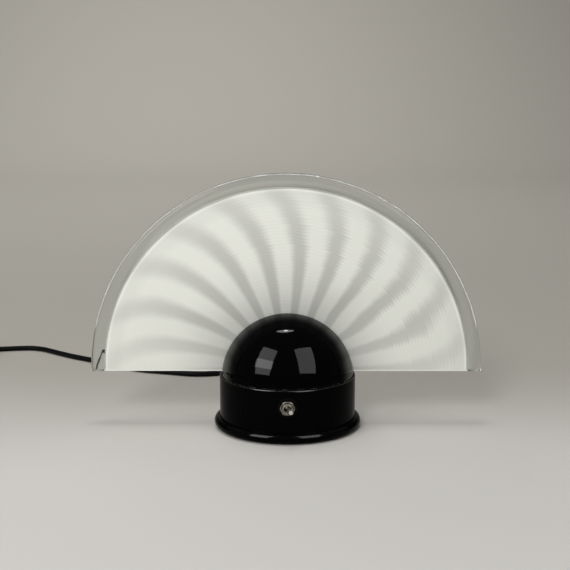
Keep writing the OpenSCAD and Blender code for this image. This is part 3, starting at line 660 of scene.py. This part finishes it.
wire_low, wire_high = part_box("bulb_filament")
post_r = 0.3 * mm
post_y = wire_high.y - post_r
post_taper = 0.2 * mm
filament_z = wire_high.z - 0.5 * mm
filament_r = 0.42 * mm
filament_wire_r = 0.09 * mm
tungsten = drifting(
    "tungsten", (0.22, 0.22, 0.23), (0.34, 0.34, 0.35), 0.35, 0.5, (2000, 2000, 2000), Metallic=1.0,
)
coiled_wire = grown(
    "tungsten_coil", seeds((0, 0, 0)), winding, 60, Turns=14.0, Radius=filament_r, Length=2 * post_y,
    Place=(0.0, post_y, filament_z), Turn=(pi / 2, 0.0, 0.0), Finish=tungsten,
    **{"Steps per turn": 14, "Section sides": 6, "Section radius": filament_wire_r},
)
show(coiled_wire, tungsten, "base", "wire_metal")
post = [
    (0, wire_low.z), (post_r, wire_low.z), (post_r, wire_high.z - post_taper), (post_r / 2, wire_high.z),
    (0, wire_high.z),
]
bm = bmesh.new()
for side in (-1, 1):
    lathe(bm, post, Matrix.Translation((0, side * post_y, 0)), 20)
show(piece_of("filament_posts", bm), tungsten, "base", "wire_metal", "bulb_filament")
dress(plain_nickel, "bulb_pins")

# Toggle switch
# A miniature panel toggle, rolled a little in its hole. The threaded bushing is aged nickel, held by
# a hexagonal nut over a black washer, and the lever swings on a pin through the bushing.
switch_z = rim_z - 9.8 * mm
switch_roll = radians(4)
switch_turn = Matrix.Translation((0, 0, switch_z)) @ Matrix.Rotation(switch_roll, 4, "Y")
outward = switch_turn @ Matrix.Rotation(pi / 2, 4, "X")
face = drum_r
washer_t = 0.8 * mm
nut_t = 2 * mm
nut_half = 4 * mm
bush_r = 3.175 * mm
mouth = face + washer_t + nut_t + 1.5 * mm
thread_depth = 0.22 * mm


def aged(name, dark, light, rough_low, rough_high):
    """Nickel plate gone warm and patchy, with patches of dark grime."""
    made, net, shader = finish(name, Metallic=1.0)
    patches = noise(net, spot(net), 900, 5.0)
    grime = remap(net, noise(net, spot(net), 2300, 4.0), 0.58, 0.7)
    plate = tint(net, remap(net, patches, 0.35, 0.65), dark, light)
    wire(net, shader.inputs["Base Color"], tint(net, grime, plate, (0.09, 0.08, 0.065)))
    wire(net, shader.inputs["Roughness"], remap(net, patches, 0.3, 0.7, rough_low, rough_high))
    bump(net, shader, noise(net, spot(net), 3200, 3.0), 0.02 * mm)
    return made


nickel = aged("aged_nickel", (0.13, 0.115, 0.09), (0.30, 0.275, 0.23), 0.15, 0.30)
worn_nickel = aged("worn_nickel", (0.19, 0.17, 0.135), (0.38, 0.35, 0.30), 0.10, 0.22)
rubbed_nickel = aged("rubbed_nickel", (0.66, 0.64, 0.60), (0.84, 0.82, 0.78), 0.18, 0.30)
washer_r = 5.8 * mm
washer_edge = 0.25 * mm
washer_paint = drifting(
    "washer_paint", (0.0006, 0.0006, 0.0008), (0.002, 0.002, 0.0022), 0.2, 0.3, (900, 900, 900),
    0.02 * mm, 3000, Specular_IOR_Level=0.05,
)
bm = bmesh.new()
lathe(bm, [
    (bush_r, face), (washer_r, face),
    *arc(washer_r - washer_edge, face + washer_t - washer_edge, washer_edge, 0, 90, 5),
    (bush_r, face + washer_t),
], outward)
show(piece_of("black_washer", bm), washer_paint, "base", "black_washer", "face_washer")

# The nut: a hexagon with its corners turned down, and a cone on its outer face
nut_back = face + washer_t
nut_front = nut_back + nut_t
crown_r = 0.97 * nut_half
turned_r = 1.06 * nut_half
nut_chamfer = 0.35 * mm
nut_steps = 96
nut_rings = []
for k in range(nut_steps):
    a = 2 * pi * k / nut_steps
    corner = min(nut_half / cos((a % (pi / 3)) - pi / 6), turned_r)
    shoulder = nut_front - (corner - crown_r) * tan(radians(30))
    section = [
        (bush_r, nut_back), (corner, nut_back), (corner, shoulder), (crown_r, nut_front),
        (bush_r + nut_chamfer, nut_front), (bush_r, nut_front - nut_chamfer),
    ]
    nut_rings.append([outward @ Vector((r * cos(a), r * sin(a), h)) for r, h in section])
bm = bmesh.new()
skin(bm, nut_rings, closed=True)
show(piece_of("hex_nut", bm, 20), nickel, "base", "aged_nickel", "switch_nut")

# The bushing: a sleeve with a rounded mouth, and a plate behind the drum's wall
plate_back = -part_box("switch_bushing")[1].y
plate_t = 0.6 * mm
plate_x = 6.6 * mm
plate_z = 3.6 * mm
plate_corner = 0.6 * mm
mouth_r = 2 * mm
mouth_edge = 0.45 * mm
throat_r = 1.7 * mm
throat_z = mouth - 2.4 * mm
socket_r = 2.28 * mm
socket_z = mouth - 3.4 * mm
root_r = bush_r - thread_depth
thread_end = mouth - 0.7 * mm
lip = 0.5 * mm
bm = bmesh.new()
lathe(bm, [
    (socket_r, plate_back), (root_r, plate_back), (root_r, thread_end), (bush_r, thread_end + 0.1 * mm),
    *arc(bush_r - lip, mouth - lip, lip, 0, 90, 6),
    *arc(mouth_r + mouth_edge, mouth - mouth_edge, mouth_edge, 90, 180, 6),
    (throat_r, throat_z), (socket_r, socket_z),
], outward)
plate_rim = rounded(plate_x, plate_z, plate_corner)
skin(bm, [[outward @ Vector((x, y, plate_back + h)) for x, y in plate_rim] for h in (0, plate_t)])
show(piece_of("toggle_bushing", bm), worn_nickel, "base", "aged_nickel", "switch_bushing")
thread_len = 1.9 * mm + nut_t
thread_pitch = 0.64 * mm
ridge_r = 0.24 * mm
thread_start = outward @ Vector((0, 0, thread_end - thread_len))
thread = grown(
    "bushing_thread", seeds((0, 0, 0)), winding, 40, Turns=thread_len / thread_pitch,
    Radius=root_r + 0.02 * mm, Length=thread_len, Place=tuple(thread_start), Turn=tuple(outward.to_euler()),
    Finish=nickel, **{"Steps per turn": 48, "Section sides": 6, "Section radius": ridge_r},
)
show(thread, nickel, "base", "aged_nickel")

# The lever: a ball on the pin, a thin neck and a tip that widens to a rounded flat end
pivot = face - 0.7 * mm
lever_lean = radians(10)
reach = 12 * mm
tail_len = 5 * mm
neck_at = 5 * mm
tip_len = 1.2 * mm
ball_r = 2.2 * mm
tail_meets_ball = -57
neck_meets_ball = 68
tip_r = 1.25 * mm
tip_edge = 0.4 * mm
neck_r = 0.8 * mm
tail_r = 1.2 * mm
lever_turn = switch_turn @ Matrix.Translation((0, -pivot, 0)) @ Matrix.Rotation(lever_lean, 4, "Z")
lever_turn = lever_turn @ Matrix.Rotation(pi / 2, 4, "X")
bm = bmesh.new()
lathe(bm, [
    (0, -tail_len), (tail_r, -tail_len), *arc(0, 0, ball_r, tail_meets_ball, neck_meets_ball, 16),
    (neck_r, neck_at),
    (tip_r, reach - tip_len), *arc(tip_r - tip_edge, reach - tip_edge, tip_edge, 0, 90, 6), (0, reach),
], lever_turn, 48)
show(piece_of("toggle_lever", bm, 40), rubbed_nickel, "lever", "aged_nickel", "switch_lever")
phenolic = drifting(
    "phenolic", (0.09, 0.025, 0.018), (0.16, 0.05, 0.035), 0.3, 0.45, (500, 500, 500), 0.03 * mm, 1500,
)
nylon = drifting("nylon", (0.66, 0.65, 0.60), (0.76, 0.75, 0.70), 0.35, 0.5, (800, 800, 800))
dress(phenolic, "switch_body")
dress(nylon, "lever_plunger")
dress(brass, "contact_rocker")
dress(plain_nickel, "switch_terminals", "lever_pin")
dress(zinc, "lock_washer")

# Terminal block and wires
# A natural nylon block under the deck joins the cord's cores to the wires of the switch and the
# holder. The wires are single cores in coloured plastic, clamped by brass screws.
dress(nylon, "terminal_block")
dress(brass, "terminal_inserts", "terminal_screws")
brown = drifting("brown_wire", (0.10, 0.035, 0.012), (0.15, 0.055, 0.02), 0.3, 0.42, (300, 300, 300))
blue = drifting("blue_wire", (0.012, 0.04, 0.16), (0.02, 0.06, 0.22), 0.3, 0.42, (300, 300, 300))
grey = drifting("grey_wire", (0.05, 0.05, 0.055), (0.08, 0.08, 0.085), 0.3, 0.42, (300, 300, 300))
dress(brown, "lead_line", "lead_switched")
dress(blue, "lead_neutral")
dress(grey, "cord_cores")

# Strain relief
# A moulded black bush with a flange against the drum and a ribbed taper round the cord.
# A plastic nut holds it from inside.
backward = Matrix.Translation((0, 0, relief_z)) @ Matrix.Rotation(-pi / 2, 4, "X")
flange_r = (gland_high.z - gland_low.z) / 2
gland_r = 4 * mm
flange_edge = 0.7 * mm
relief_start = drum_r + 2 * mm
relief_tip = cord_r + 0.8 * mm
relief_edge = 0.3 * mm
gland_bore = cord_r + 0.05 * mm
bm = bmesh.new()
lathe(bm, [
    (gland_bore, gland_low.y), (gland_r, gland_low.y), (gland_r, drum_r), (flange_r, drum_r),
    *arc(flange_r - flange_edge, relief_start - flange_edge, flange_edge, 0, 90, 6), (gland_r, relief_start),
    (gland_r - 0.1 * mm, relief_start + 0.4 * mm), (relief_tip, relief_end - relief_edge),
    (relief_tip - relief_edge, relief_end), (gland_bore, relief_end),
], backward, 64)
show(piece_of("strain_relief", bm), moulded, "base", "moulded_black", "cord_gland")
relief_ribs = 7
rib_step = (relief_end - relief_start) / (relief_ribs + 1)
taper_ribs = grown(
    "relief_ribs", seeds((0, 0, 0)), hoops, 60, Count=relief_ribs,
    Start=(0.0, relief_start + rib_step, relief_z), Step=(0.0, rib_step, 0.0), Plumpness=rib_plumpness,
    Finish=moulded, **{"First radius": gland_r - 0.25 * mm, "Last radius": relief_tip},
)
show(taper_ribs, moulded, "base", "moulded_black")
dress(moulded, "gland_nut")
dress(jacket, "cord_inner")

# Dome
# A spun metal hemisphere on a short skirt, in deep glossy black lacquer. A slot over its top takes
# the glass, and it nests in the drum's rim by its own weight, which has scuffed it along the seam.
dome_low, dome_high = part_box("dome")
dome_r = dome_high.x
skirt = 1.55 * mm
dome_centre = Vector((0, 0, dome_low.z + skirt))
dome_wall = 1.5 * mm
slot_half = 3.4 * mm
slot_edge = asin(slot_half / dome_r)
slot_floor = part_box("pane_seats")[0].z
floor_turn = asin((slot_floor - dome_centre.z) / dome_r)


def spread(start, end, steps):
    return [start + (end - start) * k / steps for k in range(steps + 1)]


# Rows run from the front pole to the back one, and each row goes over the top from right to left
tilts = spread(-pi / 2, -slot_edge, 60) + [0.0] + spread(slot_edge, pi / 2, 60)
overs = spread(0, floor_turn, 4)[:-1]
overs += spread(floor_turn, pi - floor_turn, 110)
overs += spread(pi - floor_turn, pi, 4)[1:]
bm = bmesh.new()
grid = []
for tilt in tilts:
    half, y = cos(tilt) * dome_r, sin(tilt) * dome_r
    row = [(half * cos(over), y, half * sin(over)) for over in overs]
    row = [(half, y, -skirt), *row, (-half, y, -skirt)]
    grid.append([bm.verts.new(dome_centre + Vector(point)) for point in row])
for i in range(len(tilts) - 1):
    in_slot = abs(tilts[i] + tilts[i + 1]) / 2 < slot_edge
    for k in range(len(overs) + 1):
        corners_here = (grid[i][k], grid[i][k + 1], grid[i + 1][k + 1], grid[i + 1][k])
        if not in_slot or min(corner.co.z for corner in corners_here) < slot_floor - 0.05 * mm:
            bm.faces.new(corners_here)
bmesh.ops.remove_doubles(bm, verts=bm.verts, dist=0.01 * mm)
bmesh.ops.delete(bm, geom=[vert for vert in bm.verts if not vert.link_faces], context="VERTS")
lacquered = piece_of("lacquered_dome", bm)
wall = lacquered.modifiers.new("wall", "SOLIDIFY")
wall.thickness = dome_wall
wall.offset = -1
soft_edge = lacquered.modifiers.new("soft_edge", "BEVEL")
soft_edge.width = 0.25 * mm
soft_edge.segments = 3
soft_edge.limit_method = "ANGLE"
soft_edge.angle_limit = radians(50)
lacquer = enamel("dome_lacquer", 0.03, 0.06, 0.0135, rim_z + 0.1 * mm, rim_z + 0.8 * mm, 0.4, flank=0.75)
show(lacquered, lacquer, "dome", "black_enamel", "dome")
rubber = drifting(
    "seat_rubber", (0.010, 0.010, 0.010), (0.022, 0.022, 0.022), 0.6, 0.8, (300, 300, 300), 0.03 * mm, 1500,
)
dress(rubber, "pane_seats")

# Glass pane
# Half of a spun glass disc, opal white with a swirl of grey rays that lag behind towards the edge.
# It is sawn straight along the bottom and smoothed by grinding there, with the cut edge painted near white as
# a painted glow of light, and notched to stand over the bulb.
core_low, core_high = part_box("pane_core")
core_half = core_high.y
edge_z = core_low.z
pane_x = (core_low.x + core_high.x) / 2
cut_below = 1.5 * mm
pane_z = edge_z + cut_below
core_r = core_high.z - pane_z
notch_r = 12.95 * mm
notch_top = 62.5 * mm
notch_mid = notch_top - notch_r
pane_edge = 0.4 * mm
arc_start = -asin(cut_below / core_r)
arc_angles = spread(arc_start, pi - arc_start, 180)
outline = [(pane_x + core_r * cos(a), pane_z + core_r * sin(a)) for a in arc_angles]
outline += [(-notch_r, edge_z)]
outline += [(notch_r * cos(a), notch_mid + notch_r * sin(a)) for a in spread(pi, 0, 32)]
outline += [(notch_r, edge_z)]
bm = bmesh.new()
front = bm.faces.new([bm.verts.new((x, -core_half, z)) for x, z in outline])
grown_parts = bmesh.ops.extrude_face_region(bm, geom=[front])["geom"]
back_points = [part for part in grown_parts if isinstance(part, bmesh.types.BMVert)]
bmesh.ops.translate(bm, verts=back_points, vec=(0, 2 * core_half, 0))
rims = [edge for edge in bm.edges if abs(edge.verts[0].co.y - edge.verts[1].co.y) < mm]
bmesh.ops.bevel(bm, geom=rims, offset=pane_edge, segments=3, profile=0.5, affect="EDGES")
swirled_pane = piece_of("swirled_pane", bm, 50)

rays = 22
ray_step = 2 * pi / rays
first_ray = radians(1.2)
twist_at_edge = radians(11.7)
lean = 0.52
line_pitch = 2 * mm
ray_width = 0.42
opal = (0.80, 0.81, 0.745)
ray_grey = (0.50, 0.505, 0.465)
spun, net, shader = finish("spun_glass", Specular_IOR_Level=0.35)
centred = add(net, "ShaderNodeMapping", spot(net), Location=(-pane_x, 0, -pane_z)).outputs[0]
across, _, up = add(net, "ShaderNodeSeparateXYZ", centred).outputs
far = calc(net, "ADD", calc(net, "MULTIPLY", across, across), calc(net, "MULTIPLY", up, up))
far = calc(net, "SQRT", far)
share = calc(net, "DIVIDE", far, core_r)

# The spun lines are fine rings, and at each one the rays' edges slip a little, like a comb
lines = calc(net, "DIVIDE", far, line_pitch)
tooth = calc(net, "SUBTRACT", calc(net, "FRACT", lines), 0.5)
chance = add(net, "ShaderNodeTexWhiteNoise", noise_dimensions="1D", W=calc(net, "FLOOR", lines)).outputs[0]
slip = calc(net, "ADD", tooth, calc(net, "MULTIPLY", calc(net, "SUBTRACT", chance, 0.5), 0.8))
slip = calc(net, "MULTIPLY", slip, remap(net, across, -0.06, 0.05, 0.02, 0.09))
slip = calc(net, "MULTIPLY", slip, remap(net, share, 0.38, 0.75, 0.15, 1.0))
wander = calc(net, "MULTIPLY", calc(net, "SUBTRACT", noise(net, spot(net), 22.0), 0.5), 0.14)

# Each ray is a soft band, counted in steps of the angle after the twist is taken out
twist = calc(net, "MULTIPLY", calc(net, "POWER", share, 5.0), twist_at_edge)
angle = calc(net, "SUBTRACT", calc(net, "ARCTAN2", up, calc(net, "ADD", across, pane_x)), twist)
angle = calc(net, "ADD", angle, calc(net, "MULTIPLY", calc(net, "MINIMUM", across, 0.0), lean))
hang = remap(net, up, 20 * mm, 36 * mm, radians(3), 0.0)
hang = calc(net, "MULTIPLY", hang, calc(net, "GREATER_THAN", across, 0.0))
angle = calc(net, "ADD", angle, hang)
turn = calc(net, "ADD", calc(net, "DIVIDE", calc(net, "SUBTRACT", angle, first_ray), ray_step), 0.5)
turn = calc(net, "ADD", turn, calc(net, "ADD", wander, slip))
off_ray = calc(net, "ABSOLUTE", calc(net, "SUBTRACT", calc(net, "FRACT", turn), 0.5))
off_ray = calc(net, "MULTIPLY", off_ray, 2.0)
softness = remap(net, share, 0.3, 1.0, 0.18, 0.36)
ray_in = calc(net, "SUBTRACT", ray_width, softness)
ray = remap(net, off_ray, ray_in, calc(net, "ADD", ray_width, softness), 1.0, 0.0)
fade = calc(net, "SUBTRACT", 0.9, calc(net, "MULTIPLY", calc(net, "POWER", share, 6.0), 0.55))
ray = calc(net, "MULTIPLY", calc(net, "MULTIPLY", ray, fade), remap(net, up, 0.0, 35 * mm, 0.55, 1.0))
ray = calc(net, "MULTIPLY", ray, remap(net, across, -0.09, -0.03, 0.8, 1.0))
ray = calc(net, "MULTIPLY", ray, remap(net, share, 0.36, 0.62, 0.82, 1.0))

# The tone is painted darker in the middle next to the dome, a painted shade, and rises to a dull ring and a
# thin bright border, with a ripple at each line
ripple = calc(net, "MULTIPLY", calc(net, "SINE", calc(net, "MULTIPLY", lines, 2 * pi)), 0.5)
border = remap(net, share, 0.976, 0.984, 0.0, 0.13)
dull_ring = remap(net, share, 0.88, 0.94, 0.0, 0.055)
# A band along the cut edge: rougher from grinding, and painted near white as a painted glow of light through
# the edge
ground_edge_glow = remap(net, up, 0.6 * mm - cut_below, 1.0 * mm - cut_below, 1.0, 0.0)
level = calc(net, "ADD", remap(net, share, 0.25, 0.68, 0.70, 1.0), calc(net, "SUBTRACT", border, dull_ring))
level = calc(net, "ADD", level, calc(net, "MULTIPLY", ripple, 0.02))
# At the very edge the tone is painted down to half, a painted shade line along the border
level = calc(net, "MULTIPLY", level, remap(net, share, 0.990, 0.994, 1.0, 0.5))
swirl = tint(net, ray, opal, ray_grey)
swirl = add(net, "ShaderNodeVectorMath", swirl, operation="SCALE", Scale=level).outputs[0]
wire(net, shader.inputs["Base Color"], tint(net, ground_edge_glow, swirl, (0.97, 0.98, 0.95)))
gloss = remap(net, ripple, -0.5, 0.5, 0.32, 0.42)
wire(net, shader.inputs["Roughness"], calc(net, "ADD", gloss, calc(net, "MULTIPLY", ground_edge_glow, 0.3)))
bump(net, shader, ripple, 0.02 * mm)
show(swirled_pane, spun, "pane", "white_glass", "pane_core")

# Clear rim
# A bead of clear glass fused round the white disc when it was spun, a little thicker than it.
# It is sawn off flush with the pane's bottom edge.
rim_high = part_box("pane_rim")[1]
rim_r = rim_high.z - pane_z
bead_half = rim_high.y
bead_at = rim_r - bead_half
swell_r = core_r + 2 * mm
root_in = core_r - 0.3 * mm
root_half = core_half - 0.3 * mm
section = arc(bead_at, 0, bead_half, -90, 90, 24) + [(swell_r, bead_half)]
section += [(root_in, root_half), (root_in, -root_half), (swell_r, -bead_half)]
profile = bpy.data.curves.new("bead_section", "CURVE")
profile.dimensions = "3D"
loop = profile.splines.new("POLY")
loop.points.add(len(section) - 1)
loop.use_cyclic_u = True
for point, (r, y) in zip(loop.points, section):
    point.co = (r - rim_r, y, 0, 1)


def swept(net, given):
    """The host's section, carried round part of a circle in the plane of X and Z."""
    path = add(net, "GeometryNodeCurveArc", Resolution=given["Steps"], Radius=given["Radius"],
               Start_Angle=given["Start"], Sweep_Angle=given["Sweep"]).outputs[0]
    bead = add(net, "GeometryNodeCurveToMesh", path, Profile_Curve=given["Geometry"],
               Fill_Caps=True).outputs[0]
    return add(net, "GeometryNodeTransform", bead, Translation=given["Centre"],
               Rotation=(pi / 2, 0, 0)).outputs[0]


clear, net, shader = finish("clear_glass", Transmission_Weight=1.0, IOR=1.5, Specular_IOR_Level=0.3)
cloud = noise(net, spot(net), 40)
wire(net, shader.inputs["Base Color"], tint(net, cloud, (0.90, 0.93, 0.91), (0.95, 0.97, 0.95)))
wire(net, shader.inputs["Roughness"], remap(net, noise(net, spot(net), 260), 0.4, 0.8, 0.0, 0.05))
bump(net, shader, noise(net, spot(net), 90, 2.0), 0.03 * mm)
rim_start = -asin(cut_below / bead_at)
clear_rim = grown(
    "clear_rim", linked("bead_section", profile), swept, 40, Steps=241, Radius=rim_r, Start=rim_start,
    Sweep=pi - 2 * rim_start, Centre=(pane_x, 0.0, pane_z), Finish=clear,
)
show(clear_rim, clear, "pane", "clear_glass", "pane_rim")

# Stage
# A pale seamless sweep of paper, a table that turns up into a wall well behind the lamp.
# Its colour is painted lightest in front and greyer behind, a painted shade for the light that falls off.
floor_half = 14.0
wall_y = 2.6
bend = 0.9
wall_top = 6.0
sweep_line = [(-floor_half, 0.0), (-1.0, 0.0), (wall_y - bend, 0.0)]
sweep_line += [(wall_y - bend + bend * sin(a), bend - bend * cos(a)) for a in spread(0, pi / 2, 15)[1:]]
sweep_line += [(wall_y, wall_top)]
bm = bmesh.new()
edges = [[bm.verts.new((x, y, z)) for y, z in sweep_line] for x in (-floor_half, floor_half)]
for k in range(len(sweep_line) - 1):
    bm.faces.new((edges[0][k], edges[0][k + 1], edges[1][k + 1], edges[1][k]))
sweep = piece_of("paper_sweep", bm)
paper, net, shader = finish("pale_paper", Roughness=0.8, Specular_IOR_Level=0.0)
# Painted shade: the paper's colour turns greyer behind the lamp in place of the light falling off
depth = remap(net, add(net, "ShaderNodeSeparateXYZ", spot(net)).outputs["Y"], -0.12, 0.16)
wire(net, shader.inputs["Base Color"], tint(net, depth, (0.50, 0.485, 0.46), (0.345, 0.33, 0.295)))
sweep.data.materials.append(paper)

# Studio light
# Two soft boxes in front and plain lamps above, before and behind the lamp light it evenly.
# The dark pieces and the clear rim also mirror boxes of their own, which light nothing else.


def group(name, pieces):
    made = bpy.data.collections.new(name)
    for piece in pieces:
        made.objects.link(piece)
    return made


def lamp(name, wide, high, power, place, aim, roll=0.0, gloss=True, only=(), shaded_by=(),
         spread_deg=180, shape="RECTANGLE"):
    """A soft box that faces a point. Without gloss, nothing mirrors it and it isn't seen through glass.

    It can be a mirror image in some pieces only, or be shaded by some pieces only.
    """
    light = bpy.data.lights.new(name, "AREA")
    light.shape = shape
    light.size = wide
    light.size_y = high
    light.energy = power
    light.spread = radians(spread_deg)
    made = linked(name, light)
    made.location = place
    facing = (Vector(aim) - Vector(place)).to_track_quat("-Z", "Y")
    made.rotation_euler = (facing @ Quaternion((0, 0, 1), radians(roll))).to_euler()
    made.visible_camera = False
    made.visible_glossy = gloss
    made.visible_transmission = gloss
    if shaded_by:
        made.light_linking.blocker_collection = group(name + "_shade", shaded_by)
    if only:
        made.visible_diffuse = False
        made.light_linking.receiver_collection = group(name, only)


lamp_foot = (0, 0, 0.05)
black = (lacquered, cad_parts["drum"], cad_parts["foot_ring"])
dark = (*black, mains_cord)
lamp("soft_box_left", 0.47, 0.74, 2.65, (-0.579, -0.541, 0.575), lamp_foot, 5, shaded_by=dark)
lamp("soft_box_right", 0.50, 0.74, 1.4, (0.489, -0.587, 0.616), lamp_foot, -10, shaded_by=dark)
lamp("sheen_left", 0.45, 0.71, 44.0, (-0.550, -0.514, 0.549), lamp_foot, 5, only=black)
lamp("sheen_right", 0.48, 0.71, 40.0, (0.465, -0.558, 0.588), lamp_foot, -10, only=black)
lamp("sheen_band", 0.45, 0.20, 18.0, (-0.528, -0.494, 0.445), lamp_foot, 5, only=(lacquered,))
round_sheen = {"only": (lacquered,), "shape": "ELLIPSE"}
lamp("sheen_above", 0.42, 0.26, 24.0, (-0.05, 0.215, 1.04), lamp_foot, -12, **round_sheen)
lamp("sheen_spot", 0.10, 0.18, 14.0, (-0.035, 0.205, 1.0), lamp_foot, -12, **round_sheen)
arch_r = 1.5
arch_z = 0.1
for lean_deg in range(-96, 97, 24):
    arch = (arch_r * sin(radians(lean_deg)), 0.6, arch_z + arch_r * cos(radians(lean_deg)))
    lamp("rim_glint", 0.65, 0.65, 6.5, arch, lamp_foot, only=(clear_rim,))
lamp("overhead", 0.9, 0.6, 15.5, (-0.2, -0.08, 2.4), (-0.2, -0.1, 0), gloss=False)
lamp("ceiling", 2.0, 2.0, 22.0, (-0.2, 0.5, 2.4), (-0.2, 0.52, 0), gloss=False, shaded_by=dark)
lamp("front", 0.5, 0.5, 17.3, (-0.5, -1.7, 1.12), lamp_foot, gloss=False)
lamp("behind", 1.2, 1.0, 1.4, (-0.6, 1.5, 1.1), lamp_foot, gloss=False, spread_deg=80, shaded_by=dark)
lamp("wall_wash", 0.8, 0.8, 11.5, (-0.3, 1.2, 2.4), (-0.3, 2.2, 0.1), gloss=False, spread_deg=90)

world = bpy.data.worlds.new("room")
bpy.context.scene.world = world
world.use_nodes = True
room = world.node_tree.nodes["Background"]
room.inputs["Color"].default_value = (0.95, 0.97, 1.0, 1)
room.inputs["Strength"].default_value = 0.5
world.cycles_visibility.diffuse = False
bpy.context.scene.view_settings.view_transform = "Standard"
